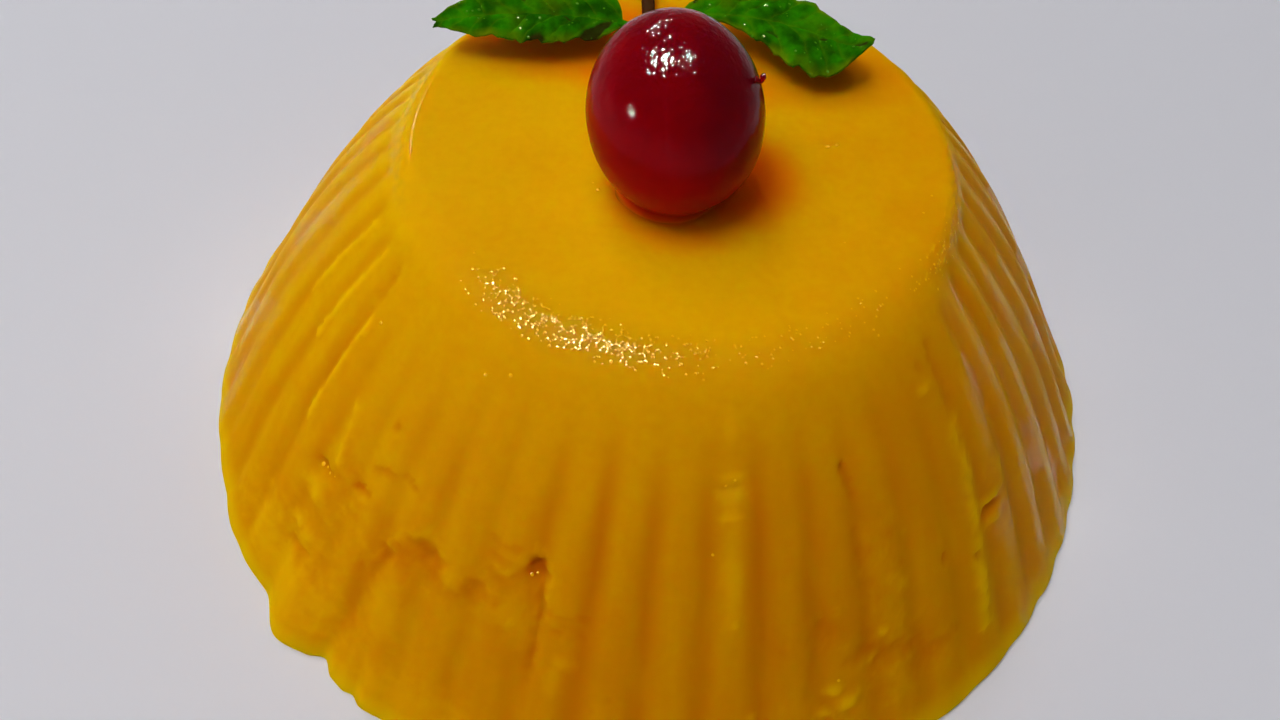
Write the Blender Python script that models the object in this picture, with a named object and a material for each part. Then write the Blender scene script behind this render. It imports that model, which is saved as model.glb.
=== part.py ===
"""Mango pudding turned out of a fluted mould, topped with a syrup cherry and a sprig of mint.

Metres, +Z up. The origin is the middle of the pudding's flat underside, and -Y is its front.
An azimuth is measured from the front, and grows towards +X.
"""

import math

import bmesh
import bpy
import numpy as np
from mathutils import Euler, Matrix, Vector

# The form that the mould gives.
HEIGHT = 0.0413
BASE_RADIUS = 0.0570
SHOULDER_RADIUS = 0.0309  # where the flank turns into the rounded shoulder
SHOULDER_ROUND = 0.0074
SHOULDER_SLOPE = math.radians(45)  # elevation of the normal where the shoulder ends
FLANK_BULGE = 0.0022
FLANK_BULGE_LEAN = 0.57  # above 0, the bulge lies nearer the shoulder
FOOT_ROUND = 0.0004

FLUTES = 50
FIRST_GROOVE = math.radians(2.5)
FLUTE_DEPTH = 0.16  # as a share of the pitch
GROOVE_SHARPNESS = 1.5
FLUTE_TOP = 0.0392  # the flutes run out here
FLUTE_FADE = 0.0030
FLUTES_AT_FOOT = 0.30  # share of the relief that is left where the foot has slumped
SLUMP_HEIGHT = 0.0050

LEVEL = 0.999  # a face whose normal is this near upright is shaded flat
COLUMNS_PER_FLUTE = 5
LOW_ROWS = 4
DAMAGED_ROWS = 8  # rows lie closer between these heights
DAMAGED_FROM = 0.0125
DAMAGED_TO = 0.0255
HIGH_ROWS = 4
SHOULDER_ROWS = 3

# Worn flutes: azimuth, half width (degrees), height, half height (metres), share taken away.
WORN_FLUTES = (
    (-35, 24, 0.000, 0.005, 0.90),
    (-26, 15, 0.031, 0.009, 0.65),
    (37, 15, 0.030, 0.009, 0.55),
    (150, 26, 0.026, 0.010, 0.45),
)

# Hollows (below 0) and lumps: azimuth, half width (degrees), height, half height, depth (metres).
HOLLOWS = (
    (-12.3, 2.6, 0.0228, 0.0019, -0.0019),
    (-27.6, 4.6, 0.0198, 0.0018, -0.0014),
    (-47.3, 2.6, 0.0180, 0.0016, -0.0011),
    (56.6, 4.6, 0.0188, 0.0020, -0.0022),
    (34.5, 5.0, 0.0112, 0.0024, -0.0009),
    (13.2, 3.0, 0.0323, 0.0018, -0.0007),
    (27.5, 4.6, 0.0100, 0.0026, 0.0010),
    (-45.5, 7.5, 0.0120, 0.0050, 0.0007),
    (118, 3.4, 0.0150, 0.0022, -0.0012),
    (-131, 3.0, 0.0250, 0.0018, -0.0009),
)

# The front left of the foot is torn away below this line: azimuth (degrees), height.
TEAR_LINE = (
    (-36, 0.0150),
    (-33, 0.0178),
    (-30.5, 0.0210),
    (-27.5, 0.0218),
    (-24.5, 0.0205),
    (-22.8, 0.0182),
    (-19, 0.0200),
    (-15.5, 0.0205),
    (-12.5, 0.0245),
    (-9.8, 0.0205),
    (-4, 0.0195),
)
TEAR_DEPTH = 0.0010
TEAR_LIP = 0.0010
TEAR_FADE = math.radians(2.5)

# Slumped lobes of the foot: azimuth, half width (degrees), how far out (metres).
FOOT_LOBES = (
    (-42.0, 5.4, 0.0018),
    (-36.0, 2.2, -0.0009),
    (-30.6, 1.6, -0.0005),
    (-29.0, 9, 0.0006),
    (-56, 9, 0.0006),
    (-100, 16, 0.0005),
    (162, 20, 0.0005),
    (97, 14, 0.0004),
)
LOBE_HEIGHT = 0.0115
SWAY = 0.00025  # slow unevenness of a set pudding

# The cherry: an egg of revolution that leans a little.
CHERRY_PLACE = (-0.0008, -0.0064)
CHERRY_RADIUS = 0.00848
CHERRY_BELOW = 0.0099  # from its widest ring to its bottom
CHERRY_ABOVE = 0.0109
CHERRY_LEAN = (math.radians(-4.2), math.radians(-11.8))
CHERRY_SINK = 0.0010
DIMPLE_RADIUS = 0.0016
DIMPLE_DEPTH = 0.0006
CHERRY_SEGMENTS = 30
CHERRY_RINGS = 14

GAP = 0.0003

# The mint: a stem that lies behind the cherry, and a pair of leaves.
STEM_RADIUS = 0.00075
STEM_POINTS = 12
STEM_TIP = (-0.0049, 0.0131, HEIGHT + 0.0023)
STEM_BEND = (-0.0053, 0.0185, HEIGHT + 0.0013)
STEM_CUT = (-0.0064, 0.0268, HEIGHT + STEM_RADIUS + GAP)

LEAF_THICKNESS = 0.0005
PETIOLE_WIDTH = 0.0011
PETIOLE_ROWS = 3
BLADE_ROWS = 21
LEAF_COLUMNS = 6

# Places are (x, y, height over the pudding's top). A side is (half width, where it is widest, droop).
LEAVES = {
    "mint_leaf_left": {
        "petiole": (-0.0060, 0.0139, 0.0022),
        "base": (-0.0080, 0.0146, 0.0030),
        "middle": (-0.0180, 0.0130, 0.0042),
        "tip": (-0.0284, 0.0104, 0.0036),
        "right_side": (0.0060, 0.30, -0.0010),
        "left_side": (0.0036, 0.46, 0.0012),
    },
    "mint_leaf_right": {
        "petiole": (-0.0038, 0.0140, 0.0022),
        "base": (-0.0016, 0.0170, 0.0030),
        "middle": (0.0085, 0.0165, 0.0042),
        "tip": (0.0203, 0.0142, 0.0032),
        "right_side": (0.0062, 0.66, 0.0012),
        "left_side": (0.0046, 0.40, -0.0006),
    },
}
TEETH = 5
TOOTH_DEPTH = 0.10  # as a share of the half width
LEAF_WAVES = 4.5
LEAF_WAVE_HEIGHT = 0.00035

PUDDING_YELLOW = (0.78, 0.36, 0.004)
CHERRY_RED = (0.16, 0.002, 0.006)
MINT_GREEN = (0.035, 0.13, 0.008)
STEM_PURPLE = (0.075, 0.025, 0.016)


def clear_scene():
    for obj in list(bpy.data.objects):
        bpy.data.objects.remove(obj, do_unlink=True)


def make_material(name, colour, roughness):
    material = bpy.data.materials.new(name)
    material.use_nodes = True
    shader = material.node_tree.nodes["Principled BSDF"]
    shader.inputs["Base Color"].default_value = (*colour, 1.0)
    shader.inputs["Roughness"].default_value = roughness
    shader.inputs["Metallic"].default_value = 0.0
    material.diffuse_color = (*colour, 1.0)
    return material


def add_object(name, mesh, material):
    obj = bpy.data.objects.new(name, mesh)
    obj.data.materials.append(material)
    bpy.context.scene.collection.objects.link(obj)
    return obj


def smooth_step(value):
    value = np.clip(value, 0.0, 1.0)
    return value * value * (3 - 2 * value)


def bell(offset, half_width):
    """1 in the middle, 0 from half_width on."""
    return smooth_step(1 - np.abs(offset) / half_width)


def turn_between(azimuth, centre):
    """The signed angle in degrees from centre to each azimuth."""
    return (np.degrees(azimuth) - centre + 180) % 360 - 180


def shoulder_foot():
    """Height at which the straight of the flank ends and the shoulder's arc begins."""
    return HEIGHT - SHOULDER_ROUND * (1 - math.sin(SHOULDER_SLOPE))


def flank_radius(height):
    share = height / shoulder_foot()
    straight = BASE_RADIUS + (SHOULDER_RADIUS - BASE_RADIUS) * share
    bulge = FLANK_BULGE * 4 * share * (1 - share)
    return straight + bulge * (1 + FLANK_BULGE_LEAN * (2 * share - 1))


def flank_heights():
    low = np.linspace(FOOT_ROUND, DAMAGED_FROM, LOW_ROWS, endpoint=False)
    damaged = np.linspace(DAMAGED_FROM, DAMAGED_TO, DAMAGED_ROWS, endpoint=False)
    high = np.linspace(DAMAGED_TO, shoulder_foot(), HIGH_ROWS + 1)
    return np.concatenate([low, damaged, high])


def profile():
    """Radius and height of each ring, from the underside's edge up to the flat top's edge."""
    rings = [(BASE_RADIUS - FOOT_ROUND, 0.0)]
    rings += [(flank_radius(h), h) for h in flank_heights()]
    centre = SHOULDER_RADIUS - SHOULDER_ROUND * math.cos(SHOULDER_SLOPE)
    for slope in np.linspace(SHOULDER_SLOPE, math.pi / 2, SHOULDER_ROWS + 1)[1:]:
        radius = centre + SHOULDER_ROUND * math.cos(slope)
        rings.append((radius, HEIGHT - SHOULDER_ROUND * (1 - math.sin(slope))))
    return rings


def flute_relief(azimuth, height, radius):
    """How far the grooves cut in. Ridges stay at the mould's form."""
    phase = (azimuth - FIRST_GROOVE) * FLUTES
    groove = (0.5 + 0.5 * np.cos(phase)) ** GROOVE_SHARPNESS
    pitch = 2 * math.pi * radius / FLUTES
    present = smooth_step((FLUTE_TOP - height) / FLUTE_FADE)
    present *= FLUTES_AT_FOOT + (1 - FLUTES_AT_FOOT) * smooth_step(height / SLUMP_HEIGHT)
    for centre, half_width, middle, half_height, share in WORN_FLUTES:
        worn = bell(turn_between(azimuth, centre), half_width) * bell(height - middle, half_height)
        present = present * (1 - share * worn)
    return -FLUTE_DEPTH * pitch * groove * present


def hollow_relief(azimuth, height):
    relief = np.zeros_like(azimuth)
    for centre, half_width, middle, half_height, depth in HOLLOWS:
        across = turn_between(azimuth, centre) / half_width
        distance = np.hypot(across, (height - middle) / half_height)
        relief += depth * smooth_step(1.3 - distance)
    return relief


def tear_relief(azimuth, height):
    """The torn face lies behind the lip along the tear line, and comes back out at the foot."""
    angles, heights = np.array(TEAR_LINE).T
    turned = turn_between(azimuth, 0)
    line = np.interp(turned, angles, heights)
    fade = math.degrees(TEAR_FADE)
    inside = smooth_step((turned - angles[0]) / fade) * smooth_step((angles[-1] - turned) / fade)
    below = smooth_step((line - height) / TEAR_LIP)
    return -TEAR_DEPTH * inside * below * smooth_step(height / (line * 0.75))


def foot_relief(azimuth, height):
    relief = np.zeros_like(azimuth)
    low = smooth_step(1 - height / LOBE_HEIGHT)
    for centre, half_width, depth in FOOT_LOBES:
        relief += depth * bell(turn_between(azimuth, centre), half_width) * low
    return relief


def sway_relief(azimuth, height):
    slow = np.sin(3 * azimuth + 0.7) + 0.7 * np.sin(5 * azimuth + 90 * height) + 0.5 * np.sin(8 * azimuth)
    return SWAY * slow * smooth_step((HEIGHT - height) / (HEIGHT - FLUTE_TOP))


def pudding_rings():
    """The rings of points, each point moved along the radius by the relief at its place."""
    columns = FLUTES * COLUMNS_PER_FLUTE
    azimuth = FIRST_GROOVE + np.arange(columns) * 2 * math.pi / columns
    rings = []
    for radius, height in profile():
        level = np.full(columns, height)
        relief = flute_relief(azimuth, level, radius) + sway_relief(azimuth, level)
        if height < FLUTE_TOP:
            relief += hollow_relief(azimuth, level) + tear_relief(azimuth, level)
            relief += foot_relief(azimuth, level)
        out = radius + relief
        rings.append(np.stack([out * np.sin(azimuth), -out * np.cos(azimuth), level], axis=1))
    return rings


def make_pudding(material):
    mesh_builder = bmesh.new()
    loops = [[mesh_builder.verts.new(point) for point in ring] for ring in pudding_rings()]
    for lower, upper in zip(loops, loops[1:]):
        for i in range(len(lower)):
            j = (i + 1) % len(lower)
            mesh_builder.faces.new((lower[i], lower[j], upper[j], upper[i]))
    mesh_builder.faces.new(loops[-1])
    mesh_builder.faces.new(reversed(loops[0]))
    mesh = bpy.data.meshes.new("pudding")
    mesh_builder.to_mesh(mesh)
    mesh_builder.free()
    mesh.shade_smooth()
    mesh.set_sharp_from_angle(angle=math.radians(60))
    for face in mesh.polygons:
        face.use_smooth = abs(face.normal.z) < LEVEL
    return add_object("pudding", mesh, material)


def cherry_profile(grown):
    """Radius and height over the widest ring, from the bottom up into the dimple."""
    points = []
    top_angle = math.acos(DIMPLE_RADIUS / CHERRY_RADIUS)
    for angle in np.linspace(-math.pi / 2, top_angle, CHERRY_RINGS):
        reach = CHERRY_BELOW if angle < 0 else CHERRY_ABOVE
        points.append(((CHERRY_RADIUS + grown) * math.cos(angle), (reach + grown) * math.sin(angle)))
    rim = points[-1][1]
    points.append((DIMPLE_RADIUS * 0.5, rim - DIMPLE_DEPTH * 0.6))
    points.append((0.0, rim - DIMPLE_DEPTH))
    points[0] = (0.0, points[0][1])
    return points


def cherry_matrix():
    lean = Euler((*CHERRY_LEAN, 0.0)).to_matrix().to_4x4()
    x, y = CHERRY_PLACE
    return Matrix.Translation((x, y, HEIGHT - CHERRY_SINK + GAP + CHERRY_BELOW)) @ lean


def make_cherry(name, material, grown=0.0):
    mesh_builder = bmesh.new()
    profile_points = [mesh_builder.verts.new((r, 0.0, z)) for r, z in cherry_profile(grown)]
    edges = [mesh_builder.edges.new(pair) for pair in zip(profile_points, profile_points[1:])]
    bmesh.ops.spin(
        mesh_builder,
        geom=profile_points + edges,
        axis=(0, 0, 1),
        cent=(0, 0, 0),
        angle=2 * math.pi,
        steps=CHERRY_SEGMENTS,
    )
    bmesh.ops.remove_doubles(mesh_builder, verts=mesh_builder.verts, dist=1e-6)
    bmesh.ops.recalc_face_normals(mesh_builder, faces=mesh_builder.faces)
    mesh = bpy.data.meshes.new(name)
    mesh_builder.to_mesh(mesh)
    mesh_builder.free()
    mesh.shade_smooth()
    obj = add_object(name, mesh, material)
    obj.matrix_world = cherry_matrix()
    return obj


def seat_cherry(pudding, cutter):
    """Presses the cherry's seat into the pudding's top."""
    cutter.hide_render = True
    cutter.display_type = "WIRE"
    seat = pudding.modifiers.new("cherry seat", "BOOLEAN")
    seat.operation = "DIFFERENCE"
    seat.object = cutter


def bend_through(start, middle, end, count):
    """Points of the smooth arc that passes through three places."""
    start, middle, end = (Vector(p) for p in (start, middle, end))
    handle = 2 * middle - 0.5 * (start + end)
    shares = np.linspace(0, 1, count)
    return [start * (1 - t) ** 2 + handle * 2 * t * (1 - t) + end * t**2 for t in shares]


def make_stem(material):
    curve = bpy.data.curves.new("mint_stem", "CURVE")
    curve.dimensions = "3D"
    curve.bevel_depth = STEM_RADIUS
    curve.bevel_resolution = 2
    curve.use_fill_caps = True
    spline = curve.splines.new("POLY")
    points = bend_through(STEM_TIP, STEM_BEND, STEM_CUT, STEM_POINTS)
    spline.points.add(len(points) - 1)
    for point, place in zip(spline.points, points):
        point.co = (*place, 1.0)
    return add_object("mint_stem", curve, material)


def half_width(share, width, widest):
    """Half width of a blade at a share of its length, with its teeth."""
    power = math.log(0.5) / math.log(widest)
    outline = math.sin(math.pi * share**power) ** 0.7 if 0 < share < 1 else 0.0
    tooth = (share * (TEETH + 0.5)) % 1.0
    return max(width * outline * (1 - TOOTH_DEPTH * (1 - tooth)), PETIOLE_WIDTH * 0.3)


def leaf_rows(leaf):
    """Each row is (centre, share of the blade), from the petiole's start to the tip."""
    over_top = {key: Vector(leaf[key]) + Vector((0, 0, HEIGHT)) for key in ("petiole", "base", "middle", "tip")}
    rows = []
    for i in range(PETIOLE_ROWS):
        share = i / PETIOLE_ROWS
        rows.append((over_top["petiole"].lerp(over_top["base"], share), None))
    blade = bend_through(over_top["base"], over_top["middle"], over_top["tip"], BLADE_ROWS)
    rows += [(centre, i / (BLADE_ROWS - 1)) for i, centre in enumerate(blade)]
    return rows


def leaf_sheet(leaf):
    """The middle surface of a leaf, as rows of points from its right side to its left."""
    rows = leaf_rows(leaf)
    sheet = []
    for index, (centre, share) in enumerate(rows):
        ahead = rows[min(index + 1, len(rows) - 1)][0] - rows[max(index - 1, 0)][0]
        to_left = Vector((0, 0, 1)).cross(ahead).normalized()
        points = []
        for column in range(LEAF_COLUMNS + 1):
            across = 2 * column / LEAF_COLUMNS - 1
            width, widest, droop = leaf["left_side"] if across > 0 else leaf["right_side"]
            if share is None:
                points.append(centre + to_left * across * PETIOLE_WIDTH / 2)
                continue
            reach = half_width(share, width, widest)
            fold = reach / width
            wave = LEAF_WAVE_HEIGHT * math.sin(2 * math.pi * LEAF_WAVES * share + (1 if across > 0 else 0))
            lift = fold * (wave * abs(across) - droop * across**2)
            points.append(centre + to_left * across * reach + Vector((0, 0, lift)))
        sheet.append(points)
    return sheet


def make_leaf(name, leaf, material):
    """A thin wavy sheet with thickness. Its two faces are split into triangles alike."""
    mesh_builder = bmesh.new()
    rows = [[mesh_builder.verts.new(point) for point in row] for row in leaf_sheet(leaf)]
    for lower, upper in zip(rows, rows[1:]):
        for i in range(LEAF_COLUMNS):
            mesh_builder.faces.new((lower[i], upper[i], upper[i + 1]))
            mesh_builder.faces.new((lower[i], upper[i + 1], lower[i + 1]))
    mesh = bpy.data.meshes.new(name)
    mesh_builder.to_mesh(mesh)
    mesh_builder.free()
    mesh.shade_smooth()
    obj = add_object(name, mesh, material)
    thickness = obj.modifiers.new("thickness", "SOLIDIFY")
    thickness.thickness = LEAF_THICKNESS
    thickness.offset = 0.0
    return obj


def main():
    clear_scene()
    yellow = make_material("mango pudding", PUDDING_YELLOW, 0.35)
    red = make_material("syrup cherry", CHERRY_RED, 0.08)
    green = make_material("mint leaf", MINT_GREEN, 0.45)
    purple = make_material("mint stem", STEM_PURPLE, 0.5)
    pudding = make_pudding(yellow)
    make_cherry("cherry", red)
    seat_cherry(pudding, make_cherry("cherry_cutter", red, grown=GAP))
    make_stem(purple)
    for name, leaf in LEAVES.items():
        make_leaf(name, leaf, green)


if __name__ == "__main__":
    main()
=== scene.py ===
"""Mango pudding with a syrup cherry and a sprig of mint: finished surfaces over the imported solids.

Metres, +Z up. The origin is the middle of the pudding's underside, and -Y is its front.
An azimuth is measured from the front and grows towards +X. In the tables of marks it is in degrees,
and a height over the table is in millimetres, because that is how a pudding's faults are noted down.
"""

import math

import bmesh
import bpy
import numpy as np
from mathutils import Euler, Matrix, Vector, noise


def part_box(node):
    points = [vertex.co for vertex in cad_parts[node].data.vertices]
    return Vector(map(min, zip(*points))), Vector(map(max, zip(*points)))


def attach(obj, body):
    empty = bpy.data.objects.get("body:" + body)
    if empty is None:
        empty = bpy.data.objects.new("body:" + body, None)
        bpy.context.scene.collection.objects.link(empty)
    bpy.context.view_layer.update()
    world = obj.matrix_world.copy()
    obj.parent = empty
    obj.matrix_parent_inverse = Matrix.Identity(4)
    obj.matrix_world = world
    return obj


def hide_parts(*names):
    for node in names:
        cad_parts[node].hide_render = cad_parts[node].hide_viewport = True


bl_info = {
    "name": "Mango Pudding",
    "version": (1, 0, 0),
    "blender": (4, 5, 0),
    "location": "3D View > Sidebar > Pudding",
    "description": "Builds a fluted mango pudding with a syrup cherry and a sprig of mint",
    "category": "Object",
}

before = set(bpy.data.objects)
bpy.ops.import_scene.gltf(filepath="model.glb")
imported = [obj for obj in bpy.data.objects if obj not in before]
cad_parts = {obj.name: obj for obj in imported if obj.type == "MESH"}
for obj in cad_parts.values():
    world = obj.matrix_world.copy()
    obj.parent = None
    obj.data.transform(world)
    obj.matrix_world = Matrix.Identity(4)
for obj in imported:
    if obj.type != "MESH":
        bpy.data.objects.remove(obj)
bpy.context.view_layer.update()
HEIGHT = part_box("pudding")[1].z
MM = 0.001

# How the pudding's grid is shared out, from the foot up to the middle of the top.
COLUMNS = 600
ROWS = 160
FLANK_SHARE = 0.62
SHOULDER_SHARE = 0.21
SHOULDER_SLOPE = math.radians(45)

# The azimuth where the crisper sides of the shoulder begin, and the turn over which they do.
SIDE_START = math.radians(58)
SIDE_SPAN = math.radians(20)

FLUTES = 50
FIRST_GROOVE = math.radians(2.5)

# Worn flutes: azimuth, half width, height, half height, share taken away.
WORN_FLUTES = (
    (-36, 22, 0, 6, 0.9), (-26, 15, 31, 10, 0.62), (-38, 9, 24, 7, 0.5), (-8, 6, 35, 5, 0.7),
    (12, 5, 33, 5, 0.45), (37, 15, 30, 9, 0.55), (33, 10, 15, 8, 0.5), (150, 26, 26, 10, 0.45),
    (-120, 20, 12, 8, 0.4), (95, 12, 34, 6, 0.5),
)

# How much painted shade each front groove keeps: azimuth, share.
FRONT_GROOVES = (
    (-55.1, 0.6), (-47.9, 0.35), (-40.7, 0.25), (-33.5, 0.3), (-26.3, 0.2), (-19.1, 0.25), (-11.9, 0.7),
    (-4.7, 1.0), (2.5, 0.8), (9.7, 0.7), (16.9, 1.0), (24.1, 0.6), (31.3, 0.6), (38.5, 0.4), (45.7, 0.4),
    (52.9, 0.7),
)

# The front left of the foot is torn away below this line: azimuth, height, how dark the painted shade of its
# hollow is.
TEAR_LINE = (
    (-37, 14.0, 0.1), (-34, 15.6, 0.6), (-33, 17.3, 0.8), (-31.8, 19.6, 0.9), (-29.4, 21.0, 0.9),
    (-27, 21.9, 0.9), (-24.6, 21.0, 0.8), (-23, 19.2, 0.5), (-21.5, 19.6, 0.4), (-20, 20.5, 0.6),
    (-17.5, 21.3, 0.6), (-16, 22.2, 0.6), (-14.2, 24.2, 0.8), (-12.6, 25.0, 1.0), (-11.4, 25.0, 1.0),
    (-10.6, 24.0, 0.9), (-10.3, 21.0, 0.5), (-9, 19.8, 0.3), (-4, 19.5, 0.0),
)
TEAR_DEPTH = 0.22 * MM
CAVE_DEPTH = 0.12 * MM

# Cracks: width, depth (millimetres), how dark their painted shade is, then azimuth and height of each point.
CRACKS = (
    (0.40, 0.22, 0.5, ((-40.6, 20.9), (-39.4, 21.4), (-38.0, 21.6))),
    (0.35, 0.15, 0.35, ((-38.6, 24.1), (-35.8, 25.0), (-32.6, 25.7), (-31.4, 25.4))),
    (0.45, 0.10, 0.25, ((-19, 25.3), (-16.8, 25.0), (-13.8, 25.4))),
    (0.50, 0.10, 0.25, ((-18, 23.7), (-16, 23.4), (-15, 23.8))),
    (0.45, 0.30, 0.35, ((-10.6, 23.6), (-10.5, 18.0), (-10.4, 12.6))),
    (0.70, 0.15, 0.30, ((-35.4, 14.5), (-34.4, 10.0), (-34.8, 4.5))),
    (0.60, 0.20, 0.40, ((-48.0, 8.6), (-46, 9.2), (-43.5, 9.6))),
    (0.50, 0.10, 0.30, ((-9.4, 20.4), (-7.4, 20.1), (-4.8, 20.6))),
    (0.45, 0.10, 0.25, ((-8.2, 18.6), (-6.4, 18.3), (-5.2, 18.7))),
    (0.40, 0.20, 0.35, ((30.4, 31.9), (30.9, 31.0), (31.0, 29.8))),
    (0.55, 0.12, 0.25, ((31.0, 26.5), (30.9, 21.0), (31.1, 15.0))),
    (0.60, 0.12, 0.25, ((24.3, 18.5), (23.4, 15), (22.3, 11.5))),
    (0.50, 0.20, 0.30, ((52.2, 37.5), (52.0, 33), (51.6, 28))),
    (0.50, 0.12, 0.30, ((-54.6, 37), (-54.2, 32), (-54.8, 25))),
    (0.40, 0.12, 0.20, ((16.8, 19.3), (18.5, 18.0), (20.4, 16.8))),
    (0.50, 0.25, 0.40, ((116, 17), (119, 15.4), (122, 15.9))),
    (0.40, 0.22, 0.35, ((-136, 24), (-132, 25.6), (-128, 25.2))),
)

# Hollows: azimuth, half width, height, half height, depth, how dark their painted shade is; below 0, how bright
# their painted light is.
HOLLOWS = (
    (-11.9, 1.9, 23.7, 1.4, 0.8, 1.0), (-16.2, 3.0, 21.6, 1.4, 0.25, 0.35), (-19.2, 2.2, 20.0, 0.8, 0.25, 0.4),
    (-27.6, 4.2, 20.6, 1.1, 0.35, 0.5), (-32.4, 1.4, 17.6, 1.2, 0.35, 0.55), (-46.6, 2.6, 19.3, 0.7, 0.6, 0.6),
    (-38.0, 0.8, 28.7, 0.5, 0.25, 0.35), (-46.0, 1.0, 25.8, 0.6, 0.15, 0.2), (-7.0, 2.6, 19.4, 1.2, 0.12, 0.25),
    (-0.7, 0.5, 12.9, 0.4, 0.15, 0.3), (-2.5, 0.4, 11.3, 0.4, 0.15, 0.3), (13.2, 2.9, 32.3, 1.0, 0.3, -0.7),
    (30.4, 0.8, 32.1, 0.6, 0.35, 0.5), (25.8, 3.6, 18.0, 2.2, 0.15, 0.3), (34.0, 3.0, 12.4, 1.6, 0.3, 0.35),
    (38.5, 3.4, 9.5, 2.4, 0.25, 0.35), (30.5, 3.4, 14.0, 1.1, 0.25, 0.45), (36.0, 4.2, 11.6, 1.1, 0.25, 0.45),
    (42.0, 3.4, 9.8, 1.0, 0.2, 0.4), (44.1, 0.8, 18.8, 0.8, 0.45, 0.7), (49.7, 0.9, 16.4, 0.8, 0.45, 0.8),
    (54.4, 2.3, 19.4, 0.8, 1.2, 1.0), (48.9, 1.2, 36.5, 0.6, 0.2, 0.3), (-45.0, 2.6, 9.0, 1.4, 0.35, 0.4),
    (-34.8, 1.8, 9.5, 5.5, 0.2, 0.3), (118, 2.6, 15.0, 1.5, 0.6, 0.7), (-131, 2.4, 25.0, 1.2, 0.45, 0.5),
    (168, 1.2, 20.0, 0.9, 0.35, 0.5), (-95, 1.0, 14.0, 0.8, 0.3, 0.4),
)

# Lumps and lips: azimuth, half width, height, half height, how far out, how bright their painted highlight is.
LUMPS = (
    (-46, 14, 5, 8, 0.0, 0.55), (-24, 12, 3, 5, 0.0, 0.4), (-46.8, 3.2, 16.6, 1.6, 0.3, 0.6),
    (-45.6, 4.4, 11.6, 1.2, 0.25, 0.6), (-30.3, 3.6, 12.0, 4.6, 0.15, 0.35), (-12.6, 1.9, 17.5, 3.8, 0.1, 0.25),
    (-6.6, 1.6, 15.6, 1.2, 0.12, 0.4), (13.2, 2.6, 33.6, 0.5, 0.12, 0.7), (13.0, 2.2, 30.6, 0.5, 0.12, 0.7),
    (13.3, 1.4, 37.2, 1.5, 0.1, 0.4), (13.2, 1.7, 25.0, 5.5, 0.1, 0.35), (13.4, 0.9, 21.2, 0.7, 0.15, 0.6),
    (15.5, 0.9, 10.8, 0.9, 0.15, 0.5), (33.2, 0.9, 15.4, 0.6, 0.2, 0.7), (31.4, 0.9, 12.8, 0.6, 0.2, 0.7),
    (25.8, 1.6, 11.4, 0.9, 0.3, 0.8), (27.6, 1.7, 9.4, 1.1, 0.35, 0.9), (24.4, 1.5, 8.8, 0.9, 0.25, 0.7),
    (48.2, 2.4, 34.8, 0.6, 0.15, 0.6), (54.4, 3.2, 20.7, 0.5, 0.3, 0.8), (54.6, 2.6, 18.0, 0.5, 0.2, 0.6),
    (58.4, 1.2, 22.8, 1.6, 0.2, 0.4), (-7.5, 1.4, 13.4, 2.4, 0.1, 0.3), (121, 2.0, 13.0, 1.0, 0.25, 0.5),
    (-126, 1.8, 23.4, 0.8, 0.2, 0.4),
)

# Folds of the skin, as thin raised lines: width, rise (millimetres), how bright their painted highlight is,
# then the points.
FOLDS = (
    (0.90, 0.30, 0.60, ((51.2, 30.5), (51.0, 26.0), (50.6, 20.0), (49.4, 12.7), (48.9, 7.4))),
    (0.50, 0.25, 0.55, ((-53.0, 33), (-53.8, 27), (-54.2, 21))),
    (0.50, 0.25, 0.55, ((-59.8, 37), (-60.6, 33), (-61.2, 27))),
    (0.50, 0.25, 0.50, ((-67.0, 37.5), (-67.8, 34), (-68.6, 28))),
    (0.45, 0.20, 0.40, ((-46.2, 27), (-45.4, 24), (-44.6, 21.5))),
)

# Patches where the skin is rough: azimuth, half width, height, half height, size of the crags.
ROUGH_PATCHES = (
    (-27, 10, 19, 3.5, 0.16), (-41, 10, 17, 8, 0.14), (-15, 6, 20, 5, 0.12), (-46, 8, 10, 5, 0.16),
    (25.8, 4.5, 18, 3, 0.18), (34.5, 5, 21, 8, 0.08), (36, 8, 10.5, 6, 0.22), (27, 5, 9, 3, 0.18),
    (56, 5, 20, 6, 0.2), (119, 7, 15, 5, 0.16), (-131, 8, 24, 4, 0.12),
)

# Slumped lobes of the foot: azimuth, half width, how far out.
FOOT_LOBES = (
    (-42.0, 5.4, 1.8), (-36.0, 2.2, -0.9), (-30.6, 1.6, -0.5), (-29.0, 9, 0.6), (-56, 9, 0.6), (-100, 16, 0.5),
    (162, 20, 0.5), (97, 14, 0.4),
)
LOBE_HEIGHT = 11.5 * MM
SWAY = 0.25 * MM  # how far the flank wavers in and out
FLANK_END = 40.5 * MM  # no fault of the flank reaches above this
FLANK_CONE = ((0, 41), (57, 31))  # two heights, and roughly the flank's radius at each

# Small faults of the flat top: x, y, radius, depth, all in millimetres.
TOP_PITS = (
    (15.0, 2.2, 0.55, 0.35), (16.6, 2.6, 0.35, 0.2), (20.6, -4.4, 0.35, 0.15), (16.2, -8.8, 0.4, 0.15),
    (-15.5, 9.5, 0.45, 0.15), (4.0, 19.5, 0.45, 0.2),
)

# Syrup soak and painted shade of the flat top: x, y, stretch across, stretch along, reach (millimetres), fade,
# strength.
# Syrup has soaked the gel round the cherry; the patches beside it, most of all on its right, also paint the
# cherry's shade in red.
SYRUP_STAINS_AND_SHADE = (
    (-0.8, -6.4, 1, 1, 6.7, 1.9, 1.0),
    (0.9, -7.6, 1, 1, 9.4, 3.8, 0.42),
    (4.2, -4.4, 1.15, 1, 9.4, 5.5, 0.9),
)
# Painted shadow of the mint leaves on the top, with the same columns.
MINT_SHADE = (-2.0, 15.0, 23, 7, 1.45, 0.7, 0.62)

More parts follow.
